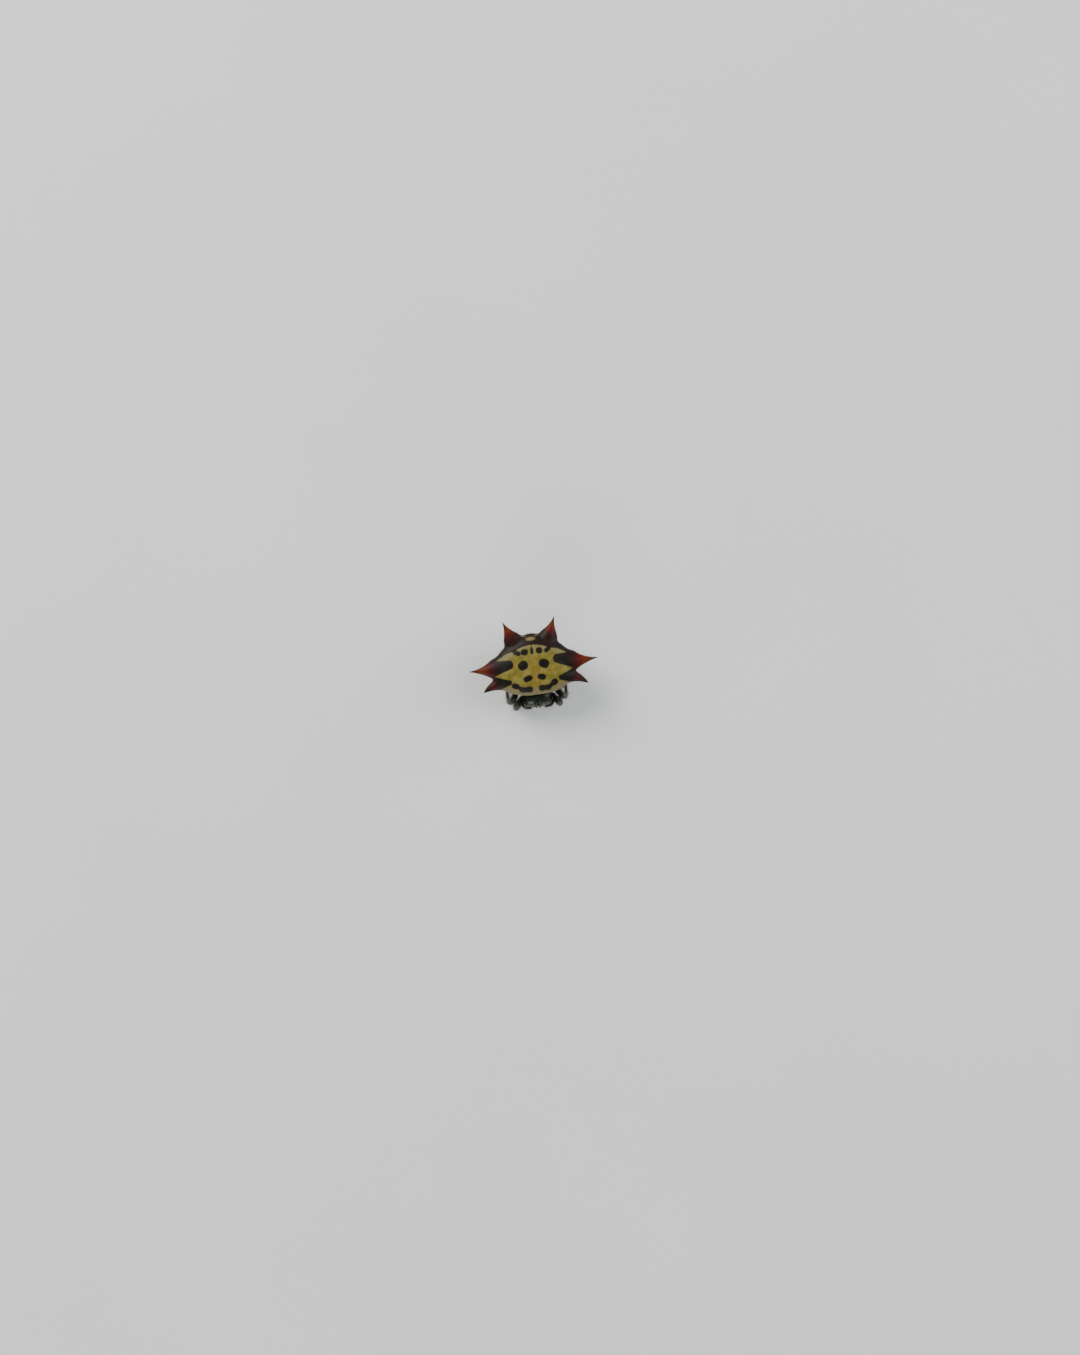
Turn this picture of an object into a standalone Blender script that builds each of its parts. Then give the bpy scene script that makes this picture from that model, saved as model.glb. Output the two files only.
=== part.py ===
"""Spiny orb weaver, an adult female Gasteracantha cancriformis, at life size.

Metres, +Z up. The head points along -Y, the spider's left is +X, and the origin is on the
floor under the middle of the body. The abdomen is a hard shield with six spines over a
ventral cone. The cephalothorax hangs under its front edge, with the legs drawn in.
"""

import math

import bmesh
import bpy
from mathutils import Matrix, Vector

MM = 0.001
GAP = 0.25 * MM
EYE_GAP = 0.12 * MM
WELD = 0.003 * MM
CREASE_ANGLE = math.radians(50)

# Shield of the abdomen, seen from above and from the side
SHIELD_HALF_WIDTH = 3.95 * MM
SHIELD_FRONT = 2.92 * MM
SHIELD_REAR = 3.05 * MM
SHIELD_FRONT_SQUARENESS = 2.5
SHIELD_REAR_SQUARENESS = 1.6
RIM_HEIGHT = 4.1 * MM
DOME_RISE = 1.25 * MM
DOME_SQUARENESS = 2.3
DOME_ANGLES = (0, 9, 20, 33, 47, 61, 76)
ABDOMEN_SIDES = 56

# Cone of the abdomen's underside, which ends in the ring round the spinnerets
CONE_DEPTH = 2.95 * MM
CONE_SHIFT = 0.45 * MM
RING_HALF_WIDTH = 0.75 * MM
RING_FRONT = 0.75 * MM
RING_REAR = 0.75 * MM
SIDE_SWELL = 1.3
FRONT_SWELL = 1.1
REAR_SWELL = 1.5
CONE_DEPTHS = (1.0, 0.9, 0.78, 0.64, 0.5, 0.36, 0.22, 0.1)

# Each spine: root on the shield's rim, bend, tip, root radius, taper power, root flatness
LATERAL_SPINE = ((3.3, 0.0, 4.08), (4.4, -0.12, 4.14), (6.25, 0.0, 4.6), 1.14, 1.45, 0.72)
REAR_SPINE = ((1.62, 2.3, 4.12), (2.06, 3.25, 4.34), (2.5, 4.4, 4.95), 0.97, 1.32, 0.76)
FRONT_SPINE = ((3.2, -1.42, 4.0), (4.2, -1.56, 4.02), (5.02, -2.2, 4.12), 0.66, 0.82, 0.82)
FRONT_TIP_LEAN = {1: (0.05, -0.14, 0.0), -1: (-0.03, 0.04, 0.0)}
SPINE_STATIONS = (0.0, 0.08, 0.18, 0.3, 0.44, 0.6, 0.76, 0.9)
SPINE_SINK = 0.85 * MM
SPINE_SUNK_SIZE = 0.8
SPINE_TIP_RADIUS = 0.035 * MM
SPINE_SIDES = 14

# Cephalothorax: the carapace, which falls away to the rear, over the sternum
BODY_MIDDLE_Y = -2.6 * MM
CARAPACE_HALF_WIDTH = 1.5 * MM
CARAPACE_FRONT = 1.45 * MM
CARAPACE_REAR = 1.2 * MM
CARAPACE_FRONT_SQUARENESS = 3.6
CARAPACE_EDGE_HEIGHT = 1.9 * MM
CARAPACE_TOP_HEIGHT = 3.1 * MM
CARAPACE_ANGLES = (0, 14, 30, 46, 62, 78)
CARAPACE_SHOULDER = 0.6
CARAPACE_BULGE = 0.9
SLOPE_START = -1.3 * MM
SLOPE_LENGTH = 1.9 * MM
SLOPE_LOWEST = 0.2
CEPHALOTHORAX_SIDES = 36

# Rings of the sternum's side, up from its flat: height, half width, reach in front, behind
STERNUM_HEIGHT = 1.0 * MM
STERNUM_RINGS = (
    (1.0, 0.72, 0.55, 0.7),
    (1.14, 1.0, 0.75, 0.95),
    (1.45, 1.2, 0.85, 1.08),
    (1.78, 1.36, 0.9, 1.14),
)
STERNUM_SQUARENESS = 2.4
WAIST_START = (0.0, -1.8, 1.7)
WAIST_END = (0.0, -0.7, 1.95)
WAIST_RADIUS = 0.27 * MM
WAIST_SIDES = 12

# Leg joints for the spider's left side, legs 1 to 4, from the body to the claw on the floor
COXAE = ((0.65, -2.8, 1.5), (0.7, -2.42, 1.5), (0.6, -2.15, 1.5), (0.25, -1.7, 1.3))
TROCHANTERS = ((1.58, -3.12, 1.6), (1.75, -2.28, 1.55), (1.52, -1.42, 1.48), (0.88, -0.84, 1.0))
KNEES = ((2.05, -4.0, 3.1), (2.53, -3.32, 2.8), (2.6, -0.95, 2.0), (2.3, -0.08, 1.62))
PATELLA_ENDS = ((2.15, -4.05, 2.6), (2.66, -3.43, 2.35), (2.85, -0.78, 1.7), (2.5, 0.32, 1.48))
ANKLES = ((2.2, -3.7, 0.95), (2.85, -3.1, 0.9), (3.1, -0.45, 0.75), (2.5, 1.3, 0.72))
HEELS = ((2.2, -2.95, 0.15), (2.9, -2.3, 0.15), (3.15, 0.1, 0.15), (2.2, 2.05, 0.15))
CLAWS = ((2.15, -2.4, 0.095), (2.85, -1.75, 0.095), (3.1, 0.52, 0.095), (2.02, 2.5, 0.095))
LEG_COUNT = 4

# Leg segments: radius, and the share of it that is left at the far end
COXA = (0.24 * MM, 1.0)
FEMUR = (0.29 * MM, 0.92)
PATELLA = (0.27 * MM, 1.0)
TIBIA = (0.26 * MM, 0.9)
METATARSUS = (0.24 * MM, 0.88)
TARSUS = (0.21 * MM, 0.75)
LEG_SIDES = 8

# Fullness along a segment, and how far its rounded ends stand out, in radii
LIMB_STATIONS = ((0.0, 0.84), (0.16, 0.97), (0.5, 1.0), (0.84, 0.94), (1.0, 0.82))
LIMB_END = 0.5

# Pedipalps, chelicerae and eyes, for the left side
PALP_JOINTS = ((0.58, -3.15, 1.32), (1.36, -3.83, 1.58), (1.2, -4.16, 1.55), (0.64, -4.24, 1.02))
PALP_FEMUR = (0.19 * MM, 1.0)
PALP_PATELLA = (0.18 * MM, 1.0)
PALP_TARSUS = (0.16 * MM, 0.7)
CHELICERA_TOP = (0.42, -3.7, 2.15)
CHELICERA_END = (0.4, -3.74, 1.0)
CHELICERA = (0.28 * MM, 0.85)
CHELICERA_SIDES = 12
FANG_TIP = (0.2, -3.55, 0.72)
FANG = (0.12 * MM, 0.3)
MEDIAN_MOUND = (0.0, -3.82, 2.78)
MEDIAN_MOUND_SIZE = (0.4, 0.32, 0.3)
MEDIAN_EYES = ((0.17, -4.1, 2.7), (0.2, -3.92, 3.0))
MEDIAN_EYE_RADIUS = 0.13 * MM
LATERAL_MOUND = (1.1, -3.66, 2.5)
LATERAL_MOUND_SIZE = (0.27, 0.27, 0.25)
LATERAL_EYES = ((1.2, -3.86, 2.46), (1.28, -3.68, 2.64))
LATERAL_EYE_RADIUS = 0.11 * MM

# Spinnerets: four cones on a round base, under the ring
SPINNERET_BASE_RADIUS = 0.45 * MM
SPINNERET_BASE_SIDES = 14
SPINNERET_BASE_TOP = 0.22 * MM
SPINNERET_BASE_DEPTH = 0.08 * MM
SPINNERET = (0.17 * MM, 0.6)
SPINNERET_COUNT = 4
SPINNERET_ROOT_SPREAD = 0.2 * MM
SPINNERET_TIP_SPREAD = 0.12 * MM
SPINNERET_TIP_HEIGHT = 0.42 * MM

COLOURS = {
    "abdomen": ((0.30, 0.24, 0.05), 0.35),
    "cephalothorax": ((0.012, 0.017, 0.012), 0.25),
    "chelicera": ((0.012, 0.013, 0.01), 0.3),
    "palp": ((0.03, 0.026, 0.016), 0.4),
    "leg": ((0.035, 0.03, 0.016), 0.35),
    "eyes": ((0.008, 0.007, 0.006), 0.1),
    "spinnerets": ((0.03, 0.018, 0.012), 0.45),
}


def clear_scene():
    for obj in list(bpy.data.objects):
        bpy.data.objects.remove(obj)


def point(place, side=1):
    """A place given in millimetres for the left side, as a vector in metres on either side."""
    x, y, z = place
    return Vector((side * x, y, z)) * MM


def material(kind):
    """The plain finish of one kind of piece."""
    made = bpy.data.materials.get(kind) or bpy.data.materials.new(kind)
    made.use_nodes = True
    shader = made.node_tree.nodes["Principled BSDF"]
    colour, roughness = COLOURS[kind]
    shader.inputs["Base Color"].default_value = (*colour, 1.0)
    shader.inputs["Roughness"].default_value = roughness
    return made


def mesh_object(name, shape):
    """An object made from a bmesh, with its faces turned outwards."""
    bmesh.ops.recalc_face_normals(shape, faces=shape.faces)
    mesh = bpy.data.meshes.new(name)
    shape.to_mesh(mesh)
    shape.free()
    obj = bpy.data.objects.new(name, mesh)
    bpy.context.scene.collection.objects.link(obj)
    return obj


def lofted(name, rings, first_end, last_end):
    """A closed skin over rings of points, drawn in to a point at each end."""
    shape = bmesh.new()
    loops = [[shape.verts.new(place) for place in ring] for ring in rings]
    count = len(rings[0])
    for lower, upper in zip(loops, loops[1:]):
        for i in range(count):
            j = (i + 1) % count
            shape.faces.new((lower[i], lower[j], upper[j], upper[i]))
    for loop, end in ((loops[0], first_end), (loops[-1], last_end)):
        tip = shape.verts.new(end)
        for i in range(count):
            shape.faces.new((loop[i], loop[(i + 1) % count], tip))
    return mesh_object(name, shape)


def largest_surface(obj):
    """Keeps the closed surface that holds the most volume, and drops loose scraps."""
    shape = bmesh.new()
    shape.from_mesh(obj.data)
    bmesh.ops.remove_doubles(shape, verts=shape.verts, dist=WELD)
    bmesh.ops.dissolve_degenerate(shape, edges=shape.edges, dist=WELD)
    bmesh.ops.triangulate(shape, faces=shape.faces)
    unseen = set(shape.faces)
    surfaces = []
    while unseen:
        edge_of_search = [unseen.pop()]
        surface = []
        while edge_of_search:
            face = edge_of_search.pop()
            surface.append(face)
            for edge in face.edges:
                for other in edge.link_faces:
                    if other in unseen:
                        unseen.remove(other)
                        edge_of_search.append(other)
        volume = sum(f.verts[0].co.dot(f.verts[1].co.cross(f.verts[2].co)) for f in surface)
        surfaces.append((abs(volume), len(surfaces), surface))
    surfaces.sort()
    for _, _, surface in surfaces[:-1]:
        bmesh.ops.delete(shape, geom=surface, context="FACES")
    shape.to_mesh(obj.data)
    shape.free()


def apply_boolean(obj, operation, pieces):
    """Joins the pieces to the object, or cuts them from it, and removes them."""
    group = bpy.data.collections.new(obj.name + "_pieces")
    bpy.context.scene.collection.children.link(group)
    for piece in pieces:
        bpy.context.scene.collection.objects.unlink(piece)
        group.objects.link(piece)
    modifier = obj.modifiers.new(operation.lower(), "BOOLEAN")
    modifier.operation = operation
    modifier.operand_type = "COLLECTION"
    modifier.collection = group
    modifier.solver = "EXACT"
    graph = bpy.context.evaluated_depsgraph_get()
    result = bpy.data.meshes.new_from_object(obj.evaluated_get(graph))
    obj.modifiers.clear()
    obj.data = result
    for piece in pieces:
        bpy.data.objects.remove(piece)
    bpy.data.collections.remove(group)
    largest_surface(obj)


def swollen(obj, distance):
    """A copy of the object with its surface moved outwards, used to cut clearance round it."""
    copy = bpy.data.objects.new(obj.name + "_clearance", obj.data.copy())
    bpy.context.scene.collection.objects.link(copy)
    normals = [vertex.normal.copy() for vertex in copy.data.vertices]
    for vertex, normal in zip(copy.data.vertices, normals):
        vertex.co += normal * distance
    copy.hide_render = True
    copy.display_type = "WIRE"
    return copy


def finished(obj, kind):
    """Gives the object its finish, with the crease angle that suits a rounded shell."""
    obj.data.materials.clear()
    obj.data.materials.append(material(kind))
    obj.data.shade_smooth()
    obj.data.set_sharp_from_angle(angle=CREASE_ANGLE)
    return obj


def signed_power(value, power):
    return math.copysign(abs(value) ** power, value)


def outline(sides, half_width, front, rear, front_square, rear_square, middle_y, height):
    """A level ring whose front and rear halves are superellipses of their own."""
    ring = []
    for i in range(sides):
        angle = 2 * math.pi * i / sides
        across, along = math.cos(angle), math.sin(angle)
        square, reach = (rear_square, rear) if along > 0 else (front_square, front)
        x = half_width * signed_power(across, 2 / square)
        y = middle_y + reach * signed_power(along, 2 / square)
        ring.append(Vector((x, y, height)))
    return ring


def dome_ring(angle):
    """A ring of the shield's top, at this angle above its rim."""
    share = math.cos(angle) ** (2 / DOME_SQUARENESS)
    rise = math.sin(angle) ** (2 / DOME_SQUARENESS)
    return outline(
        ABDOMEN_SIDES,
        SHIELD_HALF_WIDTH * share,
        SHIELD_FRONT * share,
        SHIELD_REAR * share,
        SHIELD_FRONT_SQUARENESS,
        SHIELD_REAR_SQUARENESS,
        0.0,
        RIM_HEIGHT + DOME_RISE * rise,
    )


def cone_ring(depth):
    """A ring of the underside, from 0 at the rim to 1 at the spinnerets' ring."""
    middle_y = CONE_SHIFT * depth
    front_y = -SHIELD_FRONT + (SHIELD_FRONT + CONE_SHIFT - RING_FRONT) * depth**FRONT_SWELL
    rear_y = SHIELD_REAR - (SHIELD_REAR - CONE_SHIFT - RING_REAR) * depth**REAR_SWELL
    half_width = SHIELD_HALF_WIDTH - (SHIELD_HALF_WIDTH - RING_HALF_WIDTH) * depth**SIDE_SWELL
    return outline(
        ABDOMEN_SIDES,
        half_width,
        middle_y - front_y,
        rear_y - middle_y,
        SHIELD_FRONT_SQUARENESS + (2 - SHIELD_FRONT_SQUARENESS) * depth,
        SHIELD_REAR_SQUARENESS + (2 - SHIELD_REAR_SQUARENESS) * depth,
        middle_y,
        RIM_HEIGHT - CONE_DEPTH * depth,
    )


def spine(name, shape, side, lean=(0.0, 0.0, 0.0)):
    """A horn that flares into the shield's rim and draws out to a fine tip."""
    root, bend, tip, root_radius, taper, flatness = shape
    start, middle = point(root, side), point(bend, side)
    end = point(tip, side) + Vector(lean) * MM
    inwards = (start - middle).normalized() * SPINE_SINK
    stations = [(start + inwards, -inwards, SPINE_SUNK_SIZE * root_radius * MM, flatness)]
    for share in SPINE_STATIONS:
        place = (1 - share) ** 2 * start + 2 * share * (1 - share) * middle + share**2 * end
        along = (1 - share) * (middle - start) + share * (end - middle)
        radius = SPINE_TIP_RADIUS + (root_radius * MM - SPINE_TIP_RADIUS) * (1 - share) ** taper
        stations.append((place, along, radius, flatness + (1 - flatness) * share))
    rings = []
    for place, along, radius, height_share in stations:
        level = along.cross(Vector((0, 0, 1))).normalized()
        upward = level.cross(along.normalized())
        ring = []
        for i in range(SPINE_SIDES):
            angle = 2 * math.pi * i / SPINE_SIDES
            across = level * (radius * math.cos(angle))
            ring.append(place + across + upward * (radius * height_share * math.sin(angle)))
        rings.append(ring)
    return lofted(name, rings, stations[0][0], end)


def limb(name, start, end, form, sides=LEG_SIDES):
    """One segment of a limb: slim at its joints, fuller between them, with rounded ends."""
    radius, end_share = form
    along = (end - start).normalized()
    length = (end - start).length
    turn = along.to_track_quat("Z", "Y")
    rings = []
    for share, fullness in LIMB_STATIONS:
        size = radius * (1 + (end_share - 1) * share) * fullness
        ring = []
        for i in range(sides):
            angle = 2 * math.pi * (i + 0.5) / sides
            offset = Vector((math.cos(angle) * size, math.sin(angle) * size, share * length))
            ring.append(start + turn @ offset)
        rings.append(ring)
    first_end = start - along * radius * LIMB_END
    return lofted(name, rings, first_end, end + along * radius * end_share * LIMB_END)


def ball(name, place, size, fineness=2):
    """A rounded lump with its own half-sizes."""
    shape = bmesh.new()
    scale = Matrix.Translation(place) @ Matrix.Diagonal((*size, 1.0))
    bmesh.ops.create_icosphere(shape, subdivisions=fineness, radius=1.0, matrix=scale)
    return mesh_object(name, shape)


def settle_on_floor(obj):
    """Flattens whatever reaches below the floor, which leaves a small flat to stand on."""
    for vertex in obj.data.vertices:
        vertex.co.z = max(vertex.co.z, 0.0)


def make_abdomen():
    rings = [cone_ring(depth) for depth in CONE_DEPTHS]
    rings += [dome_ring(math.radians(angle)) for angle in DOME_ANGLES]
    bottom = Vector((0, CONE_SHIFT, RIM_HEIGHT - CONE_DEPTH))
    top = Vector((0, 0, RIM_HEIGHT + DOME_RISE))
    abdomen = lofted("abdomen", rings, bottom, top)
    horns = []
    for side in (1, -1):
        horns.append(spine("lateral_spine", LATERAL_SPINE, side))
        horns.append(spine("rear_spine", REAR_SPINE, side))
        horns.append(spine("front_spine", FRONT_SPINE, side, FRONT_TIP_LEAN[side]))
    apply_boolean(abdomen, "UNION", horns)
    return finished(abdomen, "abdomen")


def height_of_carapace(y, rise):
    """The carapace's height at y, where it rises this share of its full height."""
    share = min(max((SLOPE_START - y) / SLOPE_LENGTH, 0.0), 1.0)
    eased = share * share * (3 - 2 * share)
    full = (CARAPACE_TOP_HEIGHT - CARAPACE_EDGE_HEIGHT) * (SLOPE_LOWEST + (1 - SLOPE_LOWEST) * eased)
    return CARAPACE_EDGE_HEIGHT + full * rise


def make_cephalothorax(abdomen):
    """The carapace's raised head part and falling rear, with the narrow waist behind."""
    rings = []
    for height, half_width, front, rear in STERNUM_RINGS:
        sizes = (half_width * MM, front * MM, rear * MM, STERNUM_SQUARENESS, 2.0)
        rings.append(outline(CEPHALOTHORAX_SIDES, *sizes, BODY_MIDDLE_Y, height * MM))
    for degrees in CARAPACE_ANGLES:
        share = math.cos(math.radians(degrees)) ** CARAPACE_SHOULDER
        rise = math.sin(math.radians(degrees)) ** CARAPACE_BULGE
        ring = outline(
            CEPHALOTHORAX_SIDES,
            CARAPACE_HALF_WIDTH * share,
            CARAPACE_FRONT * share,
            CARAPACE_REAR * share,
            CARAPACE_FRONT_SQUARENESS,
            2.0,
            BODY_MIDDLE_Y,
            0.0,
        )
        for place in ring:
            place.z = height_of_carapace(place.y, rise)
        rings.append(ring)
    bottom = Vector((0, BODY_MIDDLE_Y, STERNUM_HEIGHT))
    top = Vector((0, BODY_MIDDLE_Y, height_of_carapace(BODY_MIDDLE_Y, 1.0)))
    body = lofted("cephalothorax", rings, bottom, top)
    waist = limb("waist", point(WAIST_START), point(WAIST_END), (WAIST_RADIUS, 1.0), WAIST_SIDES)
    apply_boolean(body, "UNION", [waist])
    apply_boolean(body, "DIFFERENCE", [swollen(abdomen, GAP)])
    return finished(body, "cephalothorax")


def make_leg(name, number, side, cephalothorax):
    """Coxa to claw along the joints, cut clear of the cephalothorax at its root."""
    rows = (COXAE, TROCHANTERS, KNEES, PATELLA_ENDS, ANKLES, HEELS, CLAWS)
    joints = [point(row[number], side) for row in rows]
    leg = limb(name, joints[0], joints[1], COXA)
    segments = []
    for start, end, form in zip(joints[1:], joints[2:], (FEMUR, PATELLA, TIBIA, METATARSUS, TARSUS)):
        segments.append(limb("segment", start, end, form))
        settle_on_floor(segments[-1])
    apply_boolean(leg, "UNION", segments)
    apply_boolean(leg, "DIFFERENCE", [swollen(cephalothorax, GAP)])
    return finished(leg, "leg")


def make_palp(name, side, cephalothorax):
    root, knee, bend, tip = (point(joint, side) for joint in PALP_JOINTS)
    palp = limb(name, root, knee, PALP_FEMUR)
    patella = limb("palp_patella", knee, bend, PALP_PATELLA)
    tarsus = limb("palp_tarsus", bend, tip, PALP_TARSUS)
    apply_boolean(palp, "UNION", [patella, tarsus])
    apply_boolean(palp, "DIFFERENCE", [swollen(cephalothorax, GAP)])
    return finished(palp, "palp")


def make_chelicera(name, side, cephalothorax):
    """A stout jaw that hangs from the front of the carapace, with its fang folded inwards."""
    top, end = point(CHELICERA_TOP, side), point(CHELICERA_END, side)
    jaw = limb(name, top, end, CHELICERA, CHELICERA_SIDES)
    fang = limb("fang", end, point(FANG_TIP, side), FANG)
    apply_boolean(jaw, "UNION", [fang])
    apply_boolean(jaw, "DIFFERENCE", [swollen(cephalothorax, GAP)])
    return finished(jaw, "chelicera")


def make_eyes(name, mound, mound_size, eyes, radius, sides, cephalothorax):
    """The bead eyes that share one low mound of the carapace."""
    base = ball(name, point(mound, sides[0]), Vector(mound_size) * MM)
    beads = [
        ball("bead", point(eye, side), (radius, radius, radius)) for eye in eyes for side in sides
    ]
    apply_boolean(base, "UNION", beads)
    apply_boolean(base, "DIFFERENCE", [swollen(cephalothorax, EYE_GAP)])
    return finished(base, "eyes")


def make_spinnerets():
    """Short cones on one base, under the ring at the abdomen's lowest point."""
    base_top = RIM_HEIGHT - CONE_DEPTH - GAP - SPINNERET_BASE_TOP
    top = Vector((0, CONE_SHIFT, base_top))
    bottom = Vector((0, CONE_SHIFT, base_top - SPINNERET_BASE_DEPTH))
    base = limb("spinnerets", top, bottom, (SPINNERET_BASE_RADIUS, 1.0), SPINNERET_BASE_SIDES)
    cones = []
    for i in range(SPINNERET_COUNT):
        angle = 2 * math.pi * (i + 0.5) / SPINNERET_COUNT
        outward = Vector((math.cos(angle), math.sin(angle), 0.0))
        tip = Vector((0, CONE_SHIFT, SPINNERET_TIP_HEIGHT)) + outward * SPINNERET_TIP_SPREAD
        cones.append(limb("cone", top + outward * SPINNERET_ROOT_SPREAD, tip, SPINNERET))
    apply_boolean(base, "UNION", cones)
    return finished(base, "spinnerets")


def main():
    clear_scene()
    abdomen = make_abdomen()
    body = make_cephalothorax(abdomen)
    for side, side_name in ((1, "left"), (-1, "right")):
        for number in range(LEG_COUNT):
            make_leg(f"leg_{number + 1}_{side_name}", number, side, body)
        make_palp(f"pedipalp_{side_name}", side, body)
        make_chelicera(f"chelicera_{side_name}", side, body)
        lateral = (LATERAL_MOUND, LATERAL_MOUND_SIZE, LATERAL_EYES, LATERAL_EYE_RADIUS)
        make_eyes(f"eyes_{side_name}", *lateral, (side,), body)
    median = (MEDIAN_MOUND, MEDIAN_MOUND_SIZE, MEDIAN_EYES, MEDIAN_EYE_RADIUS)
    make_eyes("eyes_median", *median, (1, -1), body)
    make_spinnerets()


main()
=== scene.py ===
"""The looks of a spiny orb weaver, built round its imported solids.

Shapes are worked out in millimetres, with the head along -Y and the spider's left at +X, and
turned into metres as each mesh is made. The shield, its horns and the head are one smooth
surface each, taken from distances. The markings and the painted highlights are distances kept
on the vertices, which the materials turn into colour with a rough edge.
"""

import math

import bpy
import numpy as np
from mathutils import Matrix, Vector


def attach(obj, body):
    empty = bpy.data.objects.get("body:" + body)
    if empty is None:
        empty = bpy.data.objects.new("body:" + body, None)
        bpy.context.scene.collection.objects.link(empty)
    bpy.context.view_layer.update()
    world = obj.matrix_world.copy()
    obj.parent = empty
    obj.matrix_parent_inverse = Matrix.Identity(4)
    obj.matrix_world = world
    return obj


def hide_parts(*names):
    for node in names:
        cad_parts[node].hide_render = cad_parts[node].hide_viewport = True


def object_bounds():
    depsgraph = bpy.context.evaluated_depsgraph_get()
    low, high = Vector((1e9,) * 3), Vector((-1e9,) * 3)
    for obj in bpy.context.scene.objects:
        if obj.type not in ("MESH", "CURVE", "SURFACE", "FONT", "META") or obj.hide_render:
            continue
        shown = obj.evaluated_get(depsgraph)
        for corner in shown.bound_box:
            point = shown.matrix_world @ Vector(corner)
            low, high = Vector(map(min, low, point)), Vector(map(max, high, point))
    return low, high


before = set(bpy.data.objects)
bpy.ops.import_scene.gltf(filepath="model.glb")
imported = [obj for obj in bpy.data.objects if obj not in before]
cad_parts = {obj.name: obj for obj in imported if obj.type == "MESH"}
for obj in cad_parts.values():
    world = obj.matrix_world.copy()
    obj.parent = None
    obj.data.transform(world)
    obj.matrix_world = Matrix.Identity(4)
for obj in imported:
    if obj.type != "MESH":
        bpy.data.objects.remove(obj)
cad_low, cad_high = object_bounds()

MM = 0.001
BOX_MARGIN = 0.02
BOX_LOW = np.array(cad_low) / MM + BOX_MARGIN
BOX_HIGH = np.array(cad_high) / MM - BOX_MARGIN
FAR = 9.0
SIDES = ((1, "left"), (-1, "right"))
random = np.random.default_rng(5)

# Shield and underside, as in the solids
SHIELD_HALF_WIDTH = 3.95
SHIELD_FRONT = 2.92
SHIELD_REAR = 3.05
SHIELD_FRONT_SQUARENESS = 2.5
SHIELD_REAR_SQUARENESS = 1.6
RIM_HEIGHT = 4.1
DOME_RISE = 1.21
DOME_SQUARENESS = 2.3
CONE_DEPTH = 2.95
CONE_SHIFT = 0.45
RING_RADIUS = 0.75
SIDE_SWELL = 1.3
FRONT_SWELL = 1.1
REAR_SWELL = 1.5
COLLAR_RADIUS = 0.56
COLLAR_THICKNESS = 0.17
COLLAR_HEIGHT = 1.1
SHIELD_BOX = ((-6.4, -3.1, 0.8), (6.4, 4.55, 5.5))
SHIELD_STEPS = (0.045, 0.09)

# Each horn: root, bend, tip, root radius, taper power, root flatness
LATERAL_HORN = ((3.3, 0.0, 4.08), (4.4, -0.12, 4.14), (6.25, 0.0, 4.6), 1.1, 1.3, 0.72)
REAR_HORN = ((1.62, 2.3, 4.12), (2.06, 3.25, 4.34), (2.5, 4.4, 4.95), 0.94, 1.36, 0.76)
FRONT_HORN = ((3.2, -1.42, 4.0), (4.2, -1.56, 4.02), (5.02, -2.2, 4.12), 0.65, 0.88, 0.82)
FRONT_TIP_LEAN = {1: (0.05, -0.14, 0.0), -1: (-0.03, 0.04, 0.0)}
HORN_TIP_RADIUS = 0.03
HORN_RUNS = 18
HORN_BLEND = 0.3
HORN_EASE = 0.14

# Head part and sternum: height, half width, reach in front, behind
BODY_MIDDLE_Y = -2.6
CARAPACE_EDGE = 1.9
CARAPACE_RISE = 1.2
CARAPACE_RINGS = (
    (1.0, 0.72, 0.55, 0.7),
    (1.14, 1.0, 0.75, 0.95),
    (1.45, 1.2, 0.9, 1.08),
    (1.78, 1.38, 1.2, 1.14),
    (1.9, 1.5, 1.45, 1.2),
)
SLOPE_START = -1.3
SLOPE_LENGTH = 1.9
SLOPE_LOWEST = 0.2
WAIST = ((0, -1.9, 1.72), (0, -0.75, 1.97), 0.2)
LABIUM = ((0, -3.02, 1.02), (0.2, 0.18, 0.1))
MAXILLA = ((0.33, -3.24, 1.1), (0.2, 0.3, 0.17))
COXA_KNOB_RADIUS = 0.2
STERNUM_PATCH = ((0.0, -2.7), (0.0, -2.35), 0.3, 0.16)
HEAD_BOX = ((-1.9, -4.3, 0.8), (1.9, -0.4, 3.4))
HEAD_STEPS = (0.032, 0.06)

# Leg joints on the left side, legs 1 to 4, from the body to the claw on the floor
COXAE = ((0.65, -2.8, 1.5), (0.7, -2.42, 1.5), (0.6, -2.15, 1.5), (0.25, -1.7, 1.3))
TROCHANTERS = ((1.58, -3.12, 1.6), (1.75, -2.28, 1.55), (1.52, -1.42, 1.48), (0.88, -0.84, 1.0))
KNEES = ((2.05, -4.0, 3.1), (2.53, -3.32, 2.8), (2.6, -0.95, 2.0), (2.3, -0.08, 1.62))
PATELLA_ENDS = ((2.15, -4.05, 2.6), (2.66, -3.43, 2.35), (2.85, -0.78, 1.7), (2.5, 0.32, 1.48))
ANKLES = ((2.2, -3.7, 0.95), (2.85, -3.1, 0.9), (3.1, -0.45, 0.75), (2.5, 1.3, 0.72))
HEELS = ((2.2, -2.95, 0.14), (2.9, -2.3, 0.14), (3.15, 0.1, 0.14), (2.2, 2.05, 0.14))
CLAWS = ((2.15, -2.42, 0.08), (2.85, -1.77, 0.08), (3.1, 0.5, 0.08), (2.02, 2.48, 0.08))

# Limb pieces: radius at the base, in the middle and at the end
COXA = (0.24, 0.27, 0.22)
TROCHANTER = (0.2, 0.24, 0.21)
FEMUR = (0.18, 0.31, 0.22)
PATELLA = (0.21, 0.26, 0.22)
TIBIA = (0.2, 0.25, 0.17)
METATARSUS = (0.14, 0.15, 0.12)
TARSUS = (0.11, 0.1, 0.065)
TROCHANTER_LENGTH = 0.22
LIMB_SIDES = 20

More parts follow.
